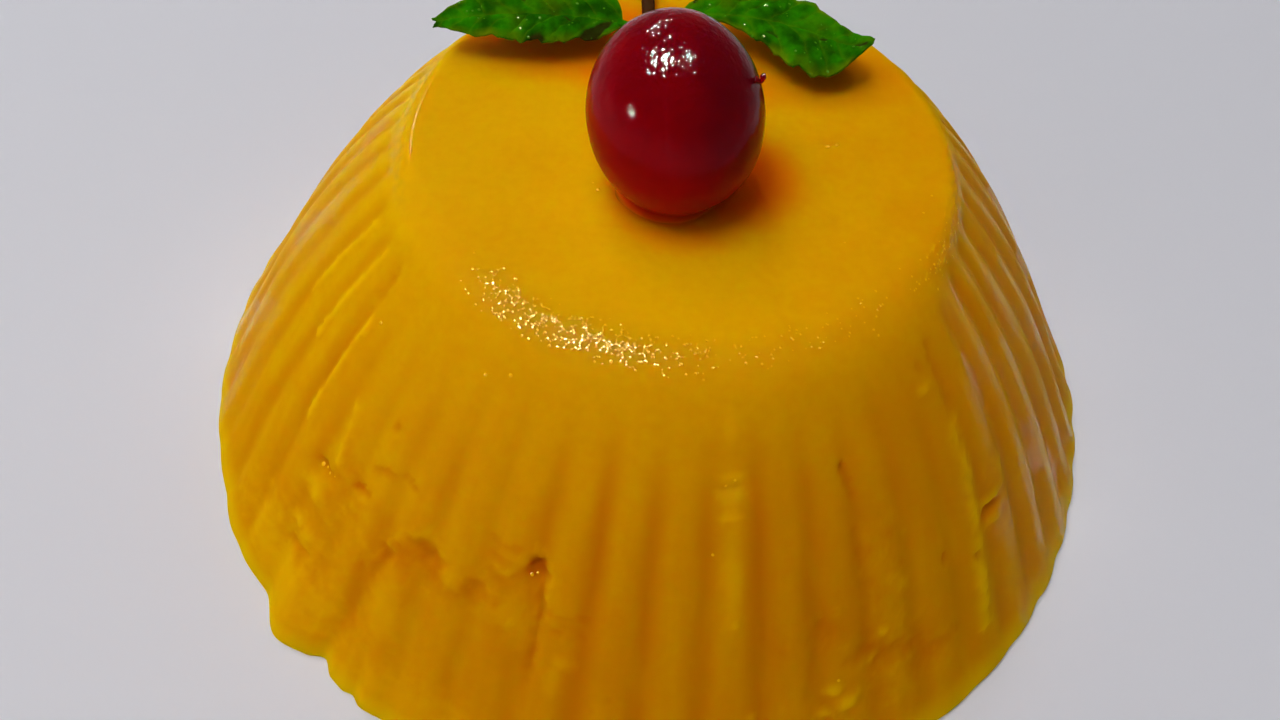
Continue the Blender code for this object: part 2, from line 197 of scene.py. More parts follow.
# Beads of moisture: azimuth, height, radius.
FLANK_BEADS = (
    (-24, 38.1, 0.2), (-28, 37.1, 0.18), (-51, 33.7, 0.22), (10.7, 26.8, 0.17), (-12.8, 22.2, 0.2),
    (-12.0, 22.5, 0.14), (-47.6, 18.4, 0.26), (-46.5, 18.7, 0.16), (-45.4, 18.6, 0.18), (-44.4, 18.9, 0.12),
    (26.5, 11.6, 0.2), (13.6, 33.1, 0.17), (12.2, 32.7, 0.15),
)

# Beads on the flat top: x, y, radius.
TOP_BEADS = (
    (15.6, 2.3, 0.28), (16.6, 2.6, 0.2), (26.4, -3.6, 0.14), (25.4, -6.2, 0.14), (17.3, -11.5, 0.13),
    (-7.8, -8.1, 0.22), (-8.4, -7.2, 0.14),
)

# Fine drops: the piece they lie on, their own name and slot, smallest and largest radius (metres), flatness.
DROPS = (
    ("mango_pudding", "pudding_drops", "pudding", 0.00007, 0.00016, 0.18),
    ("mint_leaf_left_blade", "left_leaf_drops", "mint_leaf", 0.00008, 0.00022, 0.3),
    ("mint_leaf_right_blade", "right_leaf_drops", "mint_leaf", 0.00008, 0.00022, 0.3),
)

# The cherry.
CHERRY_LEAN = (math.radians(-4.2), math.radians(-11.8))
CHERRY_SINK = 1.0 * MM
CHERRY_GAP = 0.3 * MM
CHERRY_CENTRE = Vector((-0.8 * MM, -6.4 * MM, 0))
SCAR_DIRECTION = Vector((0.07, -0.19, 0.98))
CHERRY_ROWS, CHERRY_COLUMNS = 180, 320
NUB_ROWS, NUB_COLUMNS = 26, 20

# The syrup collar, in millimetres: its inner radius, then (share of its width, height) from there out.
SYRUP_COLUMNS = 180
SYRUP_INNER = 2.9
SYRUP_PROFILE = (
    (0.0, -0.3), (0.14, 0.70), (0.50, 0.78), (0.61, 0.58), (0.71, 0.35),
    (0.79, 0.19), (0.86, 0.08), (0.92, 0.0), (0.97, -0.08), (1.0, -0.18),
)

# The mint, as places of (x, y, height over the pudding's top) in millimetres. A leaf's side is (width,
# share of the length where it is widest, droop), and its tip (half width, notch, upward curl).
STALK_POINTS = 24
PETIOLE_WIDTH = 1.0 * MM
STEM_LINE = ((-4.9, 13.1, 2.3), (-5.3, 18.5, 1.3), (-6.4, 26.8, 1.05))
LEAVES = {
    "mint_leaf_left": {
        "line": ((-8.0, 14.6, 3.0), (-18.0, 13.0, 4.2), (-28.4, 10.4, 3.6)),
        "petiole": ((-5.6, 13.7, 2.3), (-6.8, 14.3, 2.7), (-8.6, 14.6, 3.0)),
        "right_side": (6.0, 0.30, -1.0),
        "left_side": (3.6, 0.46, 1.2),
        "tip": (0.55, 0.7, 0.0),
    },
    "mint_leaf_right": {
        "line": ((-1.6, 17.0, 3.0), (8.5, 16.5, 4.2), (19.6, 13.6, 3.2)),
        "petiole": ((-4.2, 13.7, 2.3), (-3.2, 15.2, 2.7), (-1.0, 16.9, 3.0)),
        "right_side": (6.0, 0.76, 1.2),
        "left_side": (4.6, 0.40, -0.6),
        "tip": (0.30, 0.0, 2.0),
    },
}

# Folded places of the leaves, darkened by brown bruises and by painted shade in the folds and the curled tip:
# x, y, half length, half width (mm), turn, how dark.
BRUISES_AND_FOLD_SHADE = (
    (-10.9, 12.4, 2.5, 0.45, 47, 1.0), (-13.8, 12.9, 1.3, 0.14, -8, 0.8), (-16.8, 9.9, 0.9, 0.4, 10, 0.7),
    (-19.1, 14.8, 0.5, 0.3, 0, 0.6), (14.3, 14.4, 0.5, 0.28, 0, 0.8), (8.7, 14.1, 0.7, 0.35, -20, 0.5),
    (6.2, 13.1, 0.3, 0.45, 0, 0.9), (18.3, 13.6, 0.9, 0.5, -35, 0.7), (8.5, 20.0, 0.35, 0.45, 0, 0.6),
    (-0.3, 19.3, 0.4, 0.4, 0, 0.6),
)
LEAF_ROWS = 120
LEAF_COLUMNS = 48

# Where the picture was taken from, and which way the camera looks.
CAMERA_PLACE = Vector((0.0, -0.08717, 0.12155))
CAMERA_LOOK = Vector((-0.0140, 0.58818, -0.80861))
CAMERA_UP = Vector((-0.11565, 0.80231, 0.58560))
CAMERA_LENS = 30.94

# Lamps: direction from the pudding, width and depth (metres), power (watts), colour, and whether it
# is a soft lamp, which shows in no gloss, or one that makes only glints.
LAMPS = {
    "room light": ((-0.45, -0.10, 1.0), (2.4, 2.4), 4.9, (1.0, 0.98, 0.95), "soft"),
    "ceiling lamp": ((-0.32, -0.17, 0.93), (0.62, 0.62), 6.6, (1.0, 0.97, 0.93), "soft"),
    "back lamp": ((-0.28, 0.42, 0.87), (0.20, 0.20), 1.4, (1.0, 0.97, 0.93), "soft"),
    "ceiling glint": ((-0.345, -0.10, 0.93), (0.24, 0.27), 250.0, (1.0, 0.97, 0.92), "glint"),
    "right glint": ((0.28, -0.03, 0.96), (0.12, 0.16), 50.0, (1.0, 0.97, 0.92), "glint"),
    "back glint": ((-0.347, 0.68, 0.64), (0.08, 0.10), 26.0, (1.0, 0.97, 0.92), "glint"),
    "low left glint": ((-0.80, -0.58, 0.12), (0.06, 0.06), 14.0, (1.0, 0.97, 0.92), "glint"),
}
LAMP_DISTANCE = 1.2
FLOOR_REACH = 3.0
FLOOR_LEVEL = -0.2 * MM


# ---------------------------------------------------------------- small helpers


def smooth_step(value):
    value = np.clip(value, 0.0, 1.0)
    return value * value * (3 - 2 * value)


def bell(offset, half_width):
    """1 in the middle, 0 from half_width on."""
    return smooth_step(1 - np.abs(offset) / half_width)


def turn_from(azimuth, centre):
    """The signed angle in degrees from centre to each azimuth in radians."""
    return (np.degrees(azimuth) - centre + 180) % 360 - 180


def read_values(items, key, size=1):
    values = np.empty(len(items) * size, np.float32)
    items.foreach_get(key, values)
    return values.astype(float)


def points_of(mesh):
    return read_values(mesh.vertices, "co", 3).reshape(-1, 3)


def write_mark(mesh, name, values):
    attribute = mesh.attributes.get(name) or mesh.attributes.new(name, "FLOAT", "POINT")
    attribute.data.foreach_set("value", np.clip(values, 0, 1).astype(np.float32).ravel())


def noise_at(points, size, octaves=3, seed=0.0):
    """Fractal noise, about -1 to 1, with blotches of the given size in the points' own unit."""
    shift = Vector((seed * 7.3, seed * 3.1, seed * 5.7))
    flat = np.reshape(points, (-1, 3))
    values = [noise.fractal(Vector(p) / size + shift, 0.9, 2.0, octaves) for p in flat]
    return np.reshape(values, np.shape(points)[:-1])


def unit_rows(vectors):
    return vectors / np.linalg.norm(vectors, axis=-1, keepdims=True)


def add_piece(name, mesh, material=None):
    piece = bpy.data.objects.new(name, mesh)
    bpy.context.scene.collection.objects.link(piece)
    if material:
        mesh.materials.append(material)
    return piece


def mesh_from_grid(name, points, wrap=False):
    """A mesh over rows of points. With wrap, the last column joins the first."""
    rows, columns = points.shape[:2]
    index = np.arange(rows * columns).reshape(rows, columns)
    nearer = index if wrap else index[:, :-1]
    further = np.roll(index, -1, axis=1) if wrap else index[:, 1:]
    faces = np.stack([nearer[:-1], further[:-1], further[1:], nearer[1:]], axis=-1).reshape(-1, 4)
    mesh = bpy.data.meshes.new(name)
    mesh.from_pydata(points.reshape(-1, 3).tolist(), [], faces.tolist())
    mesh.shade_smooth()
    return mesh


def tidy_surface(mesh, merge=1e-7):
    """Merges doubles, closes holes and points every face outwards."""
    builder = bmesh.new()
    builder.from_mesh(mesh)
    bmesh.ops.remove_doubles(builder, verts=builder.verts, dist=merge)
    open_edges = [edge for edge in builder.edges if edge.is_boundary]
    if open_edges:
        bmesh.ops.holes_fill(builder, edges=open_edges, sides=0)
    bmesh.ops.recalc_face_normals(builder, faces=builder.faces)
    builder.to_mesh(mesh)
    builder.free()
    mesh.update()
    return mesh


def bake_modifiers(piece):
    """Turns the evaluated piece into a plain mesh and removes its modifiers."""
    graph = bpy.context.evaluated_depsgraph_get()
    mesh = bpy.data.meshes.new_from_object(piece.evaluated_get(graph), depsgraph=graph)
    mesh.name = piece.name
    piece.modifiers.clear()
    piece.data = mesh
    return mesh


def grow(piece, group, values):
    """Runs a geometry group on a piece, with its inputs set by the sockets' identifiers."""
    modifier = piece.modifiers.new(group.name, "NODES")
    modifier.node_group = group
    for item in group.interface.items_tree:
        if item.item_type == "SOCKET" and item.in_out == "INPUT" and item.name in values:
            value = values[item.name]
            modifier[item.identifier] = float(value) if item.socket_type == NUMBERS[float] else value
    return bake_modifiers(piece)


def finish_piece(piece, slot, *nodes):
    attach(piece, "root")
    if nodes:
        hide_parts(*nodes)


def number(name, default, description, **kind):
    return bpy.props.FloatProperty(name=name, description=description, default=default, **kind)


def length(name, default, description):
    return number(name, default, description, unit="LENGTH")


def count(name, default, description):
    return bpy.props.IntProperty(name=name, description=description, default=default)


def colour(name, default, description):
    return bpy.props.FloatVectorProperty(
        name=name, description=description, subtype="COLOR", size=3, default=default
    )


# ---------------------------------------------------------------- node trees

NUMBERS = {float: "NodeSocketFloat", int: "NodeSocketInt"}
GEOMETRY = "NodeSocketGeometry"
MATERIAL = "NodeSocketMaterial"
MIX_SOCKETS = {"RGBA": (6, 7, 2), "FLOAT": (2, 3, 0)}  # first, second, result


class Field:
    """What a node gives. Sums and products of fields are Math nodes, an index is another output."""

    def __init__(self, tree, socket):
        self.tree = tree
        self.socket = socket

    def __getitem__(self, output):
        return Field(self.tree, self.socket.node.outputs[output])

    def __add__(self, other):
        return self.tree.calc("ADD", self, other)

    def __sub__(self, other):
        return self.tree.calc("SUBTRACT", self, other)

    def __rsub__(self, other):
        return self.tree.calc("SUBTRACT", other, self)

    def __mul__(self, other):
        return self.tree.calc("MULTIPLY", self, other)

    def __truediv__(self, other):
        return self.tree.calc("DIVIDE", self, other)

    def times_plus(self, factor, addend):
        return self.tree.calc("MULTIPLY_ADD", self, factor, addend)


class Tree:
    """A node tree, with a short call for each kind of node that comes often."""

    def __init__(self, data):
        self.data = data

    def plug(self, socket, value):
        """Links a field, or sets a plain value."""
        if isinstance(value, Field):
            self.data.links.new(value.socket, socket)
        elif value is not None:
            socket.default_value = value

    def add(self, kind, inputs=None, **settings):
        node = self.data.nodes.new(kind)
        for name, value in settings.items():
            setattr(node, name, value)
        for name, value in (inputs or {}).items():
            self.plug(node.inputs[name], value)
        return Field(self, node.outputs[0])

    def calc(self, operation, *values, clamp=False):
        inputs = dict(enumerate(values))
        return self.add("ShaderNodeMath", inputs, operation=operation, use_clamp=clamp)

    def mix(self, share, first, second, kind="RGBA"):
        low, high, result = MIX_SOCKETS[kind]
        return self.add("ShaderNodeMix", {0: share, low: first, high: second}, data_type=kind)[result]

    def remap(self, value, low, high, new_low=0.0, new_high=1.0):
        inputs = {"Value": value, "From Min": low, "From Max": high, "To Min": new_low, "To Max": new_high}
        return self.add("ShaderNodeMapRange", inputs)

    def split(self, vector):
        return self.add("ShaderNodeSeparateXYZ", {"Vector": vector})


class Group(Tree):
    """A node group. Its inputs are {name: default number, or a kind of socket}."""

    def __init__(self, name, inputs, kind="GeometryNodeTree", output="Geometry", output_kind=GEOMETRY):
        super().__init__(bpy.data.node_groups.new(name, kind))
        sockets = self.data.interface
        for label, default in inputs.items():
            plain = not isinstance(default, str)
            socket_type = NUMBERS[type(default)] if plain else default
            socket = sockets.new_socket(name=label, in_out="INPUT", socket_type=socket_type)
            if plain:
                socket.default_value = default
        sockets.new_socket(name=output, in_out="OUTPUT", socket_type=output_kind)
        self.given = Field(self, self.data.nodes.new("NodeGroupInput").outputs[0])
        self.result = self.data.nodes.new("NodeGroupOutput").inputs[output]

    def close(self, shape, smooth=True):
        """Ends a geometry group with a shape in the group's material."""
        if smooth:
            shape = self.add("GeometryNodeSetShadeSmooth", {"Geometry": shape})
        realized = self.add("GeometryNodeRealizeInstances", {"Geometry": shape})
        inputs = {"Geometry": realized, "Material": self.given["Material"]}
        self.plug(self.result, self.add("GeometryNodeSetMaterial", inputs))
        return self.data

    def stud(self, points, ball, rotation, size):
        """Ends a geometry group with a flattened ball of its own size on each point."""
        scale = self.add("ShaderNodeCombineXYZ", {"X": 1.0, "Y": 1.0, "Z": self.given["Flatness"]})
        bead = self.add("GeometryNodeTransform", {"Geometry": ball, "Scale": scale})
        inputs = {"Points": points, "Instance": bead, "Rotation": rotation, "Scale": size}
        return self.close(self.add("GeometryNodeInstanceOnPoints", inputs))

    def stored(self, name, kind="FLOAT"):
        return self.add("GeometryNodeInputNamedAttribute", {"Name": name}, data_type=kind)


def uneven_group():
    """Soft blotches between 0 and 1 of a given size, used by every finish here."""
    inputs = {"Place": "NodeSocketVector", "Blotches per Metre": 200.0, "Detail": 3.0, "Contrast": 1.0}
    group = Group("uneven", inputs, "ShaderNodeTree", "Blotch", NUMBERS[float])
    given = group.given
    sockets = {"Vector": given["Place"], "Scale": given["Blotches per Metre"], "Detail": given["Detail"]}
    spread = (group.add("ShaderNodeTexNoise", sockets)["Fac"] - 0.5) * given["Contrast"]
    group.plug(group.result, group.calc("ADD", spread, 0.5, clamp=True))
    return group.data


class Finish(Tree):
    """A Principled material. A socket holds a plain value, or is linked later."""

    def __init__(self, name, sockets):
        self.material = bpy.data.materials.new(name)
        self.material.use_nodes = True
        super().__init__(self.material.node_tree)
        self.set(sockets)
        self.place = self.add("ShaderNodeTexCoord")["Object"]

    def set(self, sockets):
        shader = self.data.nodes["Principled BSDF"]
        for label, value in sockets.items():
            self.plug(shader.inputs[label], value)
        return self.material

    def mark(self, name):
        return self.add("ShaderNodeAttribute", attribute_name=name)["Fac"]

    def uneven(self, per_metre, detail=3.0, contrast=1.0, place=None):
        group = bpy.data.node_groups.get("uneven") or uneven_group()
        inputs = {
            "Place": place or self.place,
            "Blotches per Metre": per_metre,
            "Detail": detail,
            "Contrast": contrast,
        }
        return self.add("ShaderNodeGroup", inputs, node_tree=group)

    def bump(self, height, distance, strength, normal=None):
        inputs = {"Height": height, "Distance": distance, "Strength": strength, "Normal": normal}
        return self.add("ShaderNodeBump", inputs)

    def layers(self, colour, *coats):
        """A colour under coats of (share, colour), the last one on top."""
        for share, coat in coats:
            colour = self.mix(share, rgba(colour), rgba(coat))
        return colour


def rgba(colour):
    return colour if isinstance(colour, Field) else (*colour, 1.0)


# ---------------------------------------------------------------- the pudding


class PuddingSettings(bpy.types.PropertyGroup):
    base_radius: length("Base Radius", 0.0570, "Radius of the foot")
    shoulder_radius: length("Shoulder Radius", 0.0309, "Radius where the flank turns into the rounded shoulder")
    shoulder_round: length("Shoulder Round", 0.0074, "Radius of the shoulder's rounding")
    bulge: length("Bulge", 0.0022, "How far the flank stands out of a straight cone")
    flutes: count("Flutes", FLUTES, "Number of grooves around the flank")
    first_groove: number("First Groove", FIRST_GROOVE, "Azimuth of one groove", unit="ROTATION")
    flute_depth: number("Flute Depth", 0.17, "Depth of a groove as a share of the pitch")
    flute_top: length("Flute Top", 0.0392, "Height at which the grooves run out")
    ridge_colour: colour("Ridge Colour", (0.84, 0.445, 0.0004), "Colour of the smooth gel")
    # Groove Colour is painted shade in the flutes' grooves, and also the darker tone of specks and streaks.
    groove_shade_and_tone_colour: colour("Groove Colour", (0.66, 0.19, 0.0003), "Colour deep in a groove")
    # Torn Colour also paints the shade in hollows, cracks, crags and under the right mint leaf.
    tear_and_shade_colour: colour("Torn Colour", (0.62, 0.125, 0.0003), "Colour inside a tear")
    # Flank Colour is laid on lower down, and towards the right side as painted shade.
    flank_and_shade_colour: colour("Flank Colour", (0.74, 0.29, 0.0003), "Colour of the gel low on the flank")
    # Stain Colour is the syrup's soaked colour, and also the red painted shade beside the cherry and the
    # painted shadow under the mint.
    stain_and_shade_colour: colour("Stain Colour", (1.0, 0.11, 0.0005), "Colour of the gel that syrup has soaked")
    # Pale Colour is painted light: highlights on lumps, lips, folds, crags and crests, floor light on the foot,
    # and sheen on the right shoulder.
    painted_light_colour: colour("Pale Colour", (0.95, 0.52, 0.001), "Colour of thin lips and lumps")


def fluted_form():
    """A turned form with flutes, as a grid that is wrapped round the axis and closed at its top."""
    inputs = {
        "Height": 0.041,
        "Base Radius": 0.057,
        "Shoulder Radius": 0.031,
        "Shoulder Round": 0.0074,
        "Side Crispness": 0.75,
        "Bulge": 0.0022,
        "Bulge Lean": 0.57,
        "Flutes": 50.0,
        "First Groove": 0.0,
        "Flute Depth": 0.19,
        "Groove Sharpness": 1.7,
        "Flute Top": 0.039,
        "Flute Fade": 0.0026,
        "Side Flute Rise": 0.0014,
        "Slump Height": 0.005,
        "Front Detail": 0.45,
        "Columns": COLUMNS,
        "Rows": ROWS,
        "Material": MATERIAL,
    }
    tree = Group("fluted form", inputs)
    given, calc = tree.given, tree.calc

    def share_of(value, start, width):
        return calc("DIVIDE", value - start, width, clamp=True)

    def eased(value):
        return tree.add("ShaderNodeMapRange", {"Value": value}, interpolation_type="SMOOTHSTEP")

    sizes = {"Size X": 1.0, "Size Y": 1.0, "Vertices X": given["Columns"] + 1, "Vertices Y": given["Rows"]}
    shape = tree.add("GeometryNodeMeshGrid", sizes)
    flat = tree.split(tree.add("GeometryNodeInputPosition"))
    turn = flat["X"] * (2 * math.pi)
    azimuth = turn - calc("SINE", turn) * given["Front Detail"]
    along = flat["Y"] + 0.5
    on_flank = share_of(along, 0.0, FLANK_SHARE)
    on_shoulder = share_of(along, FLANK_SHARE, SHOULDER_SHARE)
    on_top = share_of(along, FLANK_SHARE + SHOULDER_SHARE, 1 - FLANK_SHARE - SHOULDER_SHARE)

    slope = on_shoulder.times_plus(math.pi / 2 - SHOULDER_SLOPE, SHOULDER_SLOPE)
    aside = eased((calc("ABSOLUTE", azimuth) - SIDE_START) / SIDE_SPAN)
    crisp = aside * (given["Side Crispness"] * given["Shoulder Round"])
    rounding = given["Shoulder Round"] - crisp
    pull = math.tan((math.pi / 2 - SHOULDER_SLOPE) / 2) * math.cos(SHOULDER_SLOPE)
    shoulder = given["Shoulder Radius"] - crisp * pull
    flank_top = given["Height"] - rounding * (1 - math.sin(SHOULDER_SLOPE))
    straight = (shoulder - given["Base Radius"]).times_plus(on_flank, given["Base Radius"])
    hump = on_flank * (1.0 - on_flank) * (given["Bulge"] * 4.0)
    lean = on_flank.times_plus(2.0, -1.0).times_plus(given["Bulge Lean"], 1.0)
    arc_in = rounding * (calc("COSINE", slope) - math.cos(SHOULDER_SLOPE))
    arc_up = rounding * (calc("SINE", slope) - math.sin(SHOULDER_SLOPE))
    flat_radius = shoulder - rounding * math.cos(SHOULDER_SLOPE)
    radius = hump.times_plus(lean, straight) + arc_in - flat_radius * on_top
    height = on_flank.times_plus(flank_top, arc_up)

    phase = (azimuth - given["First Groove"]) * given["Flutes"]
    valley = calc("POWER", calc("COSINE", phase).times_plus(0.5, 0.5), given["Groove Sharpness"])
    end = aside.times_plus(given["Side Flute Rise"], given["Flute Top"])
    high_end = eased((end - height) / given["Flute Fade"])
    low_end = eased(height / given["Slump Height"]).times_plus(0.7, 0.3)
    groove = valley * (high_end * low_end)
    cut = radius * (2 * math.pi) / given["Flutes"] * given["Flute Depth"] * groove
    fluted = radius - cut
    x, y = fluted * calc("SINE", azimuth), fluted * (calc("COSINE", azimuth) * -1.0)
    target = tree.add("ShaderNodeCombineXYZ", {"X": x, "Y": y, "Z": height})
    # Each field is stored on the flat grid, while its points still say where they belong.
    for name, field in (("groove", groove), ("cut", cut)):
        stored = {"Geometry": shape, "Name": name, "Value": field}
        shape = tree.add("GeometryNodeStoreNamedAttribute", stored)
    shape = tree.add("GeometryNodeSetPosition", {"Geometry": shape, "Position": target})
    return tree.close(tree.add("GeometryNodeMergeByDistance", {"Geometry": shape, "Distance": 1e-6}))


class Skin:
    """The pudding's points while faults are worked into them, with the marks that colour them."""

    def __init__(self, mesh):
        self.mesh = mesh
        self.points = points_of(mesh)
        x, y, self.height = self.points.T
        self.level = self.height / MM
        self.radius = np.hypot(x, y)
        self.azimuth = np.arctan2(x, -y)
        self.turned = self.turn(0)
        self.out, self.drop = np.zeros((2, len(x)))
        self.groove, self.cut = (read_values(mesh.attributes[name].data, "value") for name in ("groove", "cut"))
        self.marks = {name: np.zeros(len(x)) for name in ("torn", "pale", "wet", "sheen")}
        self.flank = smooth_step((FLANK_END - self.height) / (3 * MM))

    def turn(self, centre):
        return turn_from(self.azimuth, centre)

    def noise(self, near, size, octaves, seed, squeeze=(1, 1, 1)):
        """Noise in blotches of size millimetres where near is true, and 0 elsewhere."""
        values = np.zeros(len(near))
        values[near] = noise_at(self.points[near] * squeeze, size * MM, octaves, seed)
        return values

    def streaks(self, around, tall, octaves, seed):
        """Noise that is drawn out up the flank."""
        along = np.stack([self.azimuth * around, self.height / (tall * MM), self.radius / (40 * MM)], axis=1)
        return noise_at(along, 1.0, octaves, seed)

    def distance(self, azimuth, half_width, height, half_height):
        return np.hypot(self.turn(azimuth) / half_width, (self.level - height) / half_height)

    def reach(self, *patch):
        """1 at the middle of a patch, 0 on its ragged edge and beyond."""
        distance = self.distance(*patch)
        near = distance < 2
        wobble = self.noise(near, 1.3, 2, seed=patch[0])
        return smooth_step(1.15 - 0.95 * distance + 0.30 * wobble) * near

    def line_distance(self, line):
        """Distance in millimetres from each point of the flank to a line of (azimuth, height)."""
        line = np.array(line, float)
        middle = line.mean(axis=0)
        per_degree = self.radius / MM * math.pi / 180
        here = np.stack([self.turn(middle[0]) * per_degree, (self.level - middle[1]) * 1.2], axis=1)
        around = np.interp(middle[1], *FLANK_CONE) * math.pi / 180
        line = np.stack([(line[:, 0] - middle[0]) * around, (line[:, 1] - middle[1]) * 1.2], axis=1)
        best = np.full(len(here), 1e3)
        for start, end in zip(line, line[1:]):
            span = end - start
            share = np.clip((here - start) @ span / (span @ span), 0, 1)
            gap = np.linalg.norm(here - start - share[:, None] * span, axis=1)
            best = np.minimum(best, gap)
        return best

    def line_shape(self, width, line):
        """1 on a ragged line of broken strength, falling off over its width in millimetres."""
        gap = self.line_distance(line)
        near = gap < 4
        gap += 0.5 * self.noise(near, 1.1, 3, seed=width)
        strength = 1 + 0.7 * self.noise(near, 2.6, 2, seed=width + 3)
        return np.clip(strength, 0.1, 1.2) * np.exp(-((np.maximum(gap, 0) / width) ** 2))

    def mark(self, name, amount):
        self.marks[name] = np.maximum(self.marks[name], amount)

    def write(self):
        out = self.radius + self.out * self.flank
        places = [out * np.sin(self.azimuth), -out * np.cos(self.azimuth), self.height + self.drop]
        self.mesh.vertices.foreach_set("co", np.stack(places, axis=1).astype(np.float32).ravel())
        self.mesh.update()
        for name, amount in {"groove": self.groove, **self.marks}.items():
            write_mark(self.mesh, name, amount)


def wear_flutes(skin):
    """Smears some flutes, softens the front ones and gives each groove its own depth and upper end."""
    worn = np.zeros(len(skin.level))
    for azimuth, half_width, height, half_height, share in WORN_FLUTES:
        patch = bell(skin.turn(azimuth), half_width) * bell(skin.level - height, half_height)
        worn = np.maximum(worn, share * patch)
    groove = np.round((skin.azimuth - FIRST_GROOVE) / (2 * math.pi / FLUTES)) % FLUTES
    own_depth = 0.16 * np.sin(groove * 2.39) + 0.10 * np.sin(groove * 5.1)
    aside = smooth_step((np.abs(skin.turned) - 48) / 20)
    own_end = (38.0 + 1.1 * np.sin(groove * 1.7) + 2.0 * aside) * MM
    softened = (1 - aside) * (0.66 + 0.20 * smooth_step((skin.level - 22) / 15))
    softened = np.maximum(softened, 0.72 * bell(skin.turned + 72, 48) + 0.35 * bell(skin.turned - 75, 34))
    worn = np.clip(np.maximum(worn + own_depth, softened), -0.25, 1)
    worn = np.maximum(worn, smooth_step((skin.height - own_end) / (3.2 * MM) + 0.45))
    skin.out += skin.cut * worn
    # The groove mark is painted shade in the grooves; each front groove keeps its own share of it.
    shown = np.interp(skin.turned, *np.array(FRONT_GROOVES).T, left=0.5, right=0.6)
    shown *= np.maximum(aside, smooth_step((39 - skin.level) / 11))
    skin.groove *= 0.88 * shown * (1 - 0.5 * np.clip(worn - softened, 0, 1))


def tear_foot(skin):
    """Sets the torn face back below its ragged line, with a hollow and a lip along the line. The hollow gets
    painted shade and the lip a painted highlight.
    """
    angles, heights, darkness = np.array(TEAR_LINE).T
    turned = skin.turned
    near = (turned > angles[0] - 4) & (turned < angles[-1] + 4) & (skin.height < 30 * MM)
    line = np.interp(turned, angles, heights) + 0.7 * skin.noise(near, 1.2, 3, seed=1)
    dark = np.interp(turned, angles, darkness)
    inside = smooth_step((turned - angles[0]) / 4) * smooth_step((angles[-1] - turned) / 4)
    under = line - skin.level
    back = smooth_step(skin.height / (14 * MM))
    skin.out -= TEAR_DEPTH * inside * smooth_step(under / 3.0) * back
    cave = inside * dark * smooth_step(under / 1.6 + 0.1) * smooth_step(1 - (under - 1.1) / 2.8)
    skin.out -= CAVE_DEPTH * cave
    skin.mark("torn", 0.55 * cave)
    skin.mark("pale", 0.25 * (inside * dark * np.exp(-((under + 0.6) ** 2) / 0.2)))


def press_hollows(skin):
    """Hollows get painted shade, or painted light and wetness where their darkness is below 0."""
    for *patch, depth, dark in HOLLOWS:
        reach = skin.reach(*patch)
        skin.out -= depth * MM * reach
        skin.mark("torn" if dark > 0 else "pale", abs(dark) * reach)
        if dark < 0:
            skin.mark("wet", reach)


def raise_lumps(skin):
    """Lumps and lips stand out of the skin and catch the light, and get a painted highlight as well."""
    for *patch, out, bright in LUMPS:
        reach = skin.reach(*patch)
        skin.out += out * MM * reach
        skin.mark("pale", 0.8 * bright * reach)


def draw_lines(skin):
    """Cracks that sink the skin and darken it with painted shade, and folds that raise it and brighten it with
    a painted highlight.
    """
    for lines, way, mark in ((CRACKS, -1, "torn"), (FOLDS, 1, "pale")):
        for width, depth, strength, line in lines:
            shape = skin.line_shape(width, line)
            skin.out += way * depth * MM * shape
            skin.mark(mark, strength * shape)


def roughen(skin):
    """Crags in the torn places, and the slow unevenness that every set pudding has."""
    for *patch, size in ROUGH_PATCHES:
        distance = skin.distance(*patch)
        crags = skin.noise(distance < 1.3, 2.0, 4, seed=patch[0])
        fade = smooth_step(1.3 - distance)
        skin.out += size * MM * crags * fade
        # Painted shade in the crags' hollows and a painted highlight on their tops.
        skin.marks["torn"] += 0.45 * fade * np.clip(-crags - 0.15, 0, 1)
        skin.marks["pale"] += 0.45 * fade * np.clip(crags - 0.2, 0, 1)
    low = smooth_step((HEIGHT - 7 * MM - skin.height) / (12 * MM))
    skin.marks["streak"] = 0.5 + 0.9 * skin.streaks(20, 9.0, 3, seed=13) * low
    slow = np.sin(3 * skin.azimuth + 0.7) + 0.7 * np.sin(5 * skin.azimuth + 90 * skin.height)
    slow += 0.5 * np.sin(8 * skin.azimuth)
    skin.out += SWAY * slow * smooth_step((HEIGHT - skin.height) / (2.1 * MM))
    skin.out += 0.05 * MM * noise_at(skin.points, 4.5 * MM, 3, seed=2)


def moisten_sides(skin):
    """Moisture lies in patches on the outer flanks, and thins to lines along the flutes' crests, which also get
    a painted highlight.
    """
    left = smooth_step(-skin.turned / 20)
    turned = np.abs(skin.turned)
    side = (1 - 0.2 * left) * smooth_step((turned - 46 - 20 * left) / 20) * skin.flank
    patches = skin.streaks(9, 8.0, 4, seed=14)
    crest = smooth_step(1 - skin.cut / (0.035 * MM))
    lines = 0.75 * crest * smooth_step(0.6 + 1.6 * patches)
    shine = np.maximum(0.75 * smooth_step(3.0 * patches - 0.45), lines)
    skin.mark("sheen", side * smooth_step((132 - turned) / 30) * np.maximum(shine, 0.12))
    # A painted highlight along the crests.
    skin.mark("pale", 0.30 * side * crest * smooth_step(0.7 + 1.2 * patches))


def slump_foot(skin):
    """Pushes the foot's lobes out and rounds its lower edge, which gets painted light bounced from the floor.
    """
    low = smooth_step(1 - skin.height / LOBE_HEIGHT)
    for azimuth, half_width, out in FOOT_LOBES:
        skin.out += out * MM * bell(skin.turn(azimuth), half_width) * low
    edge = np.clip(1 - skin.height / (0.5 * MM), 0, 1)
    skin.out -= 0.3 * MM * edge**2
    skin.mark("pale", 0.7 * smooth_step(1 - skin.height / (4.5 * MM)))


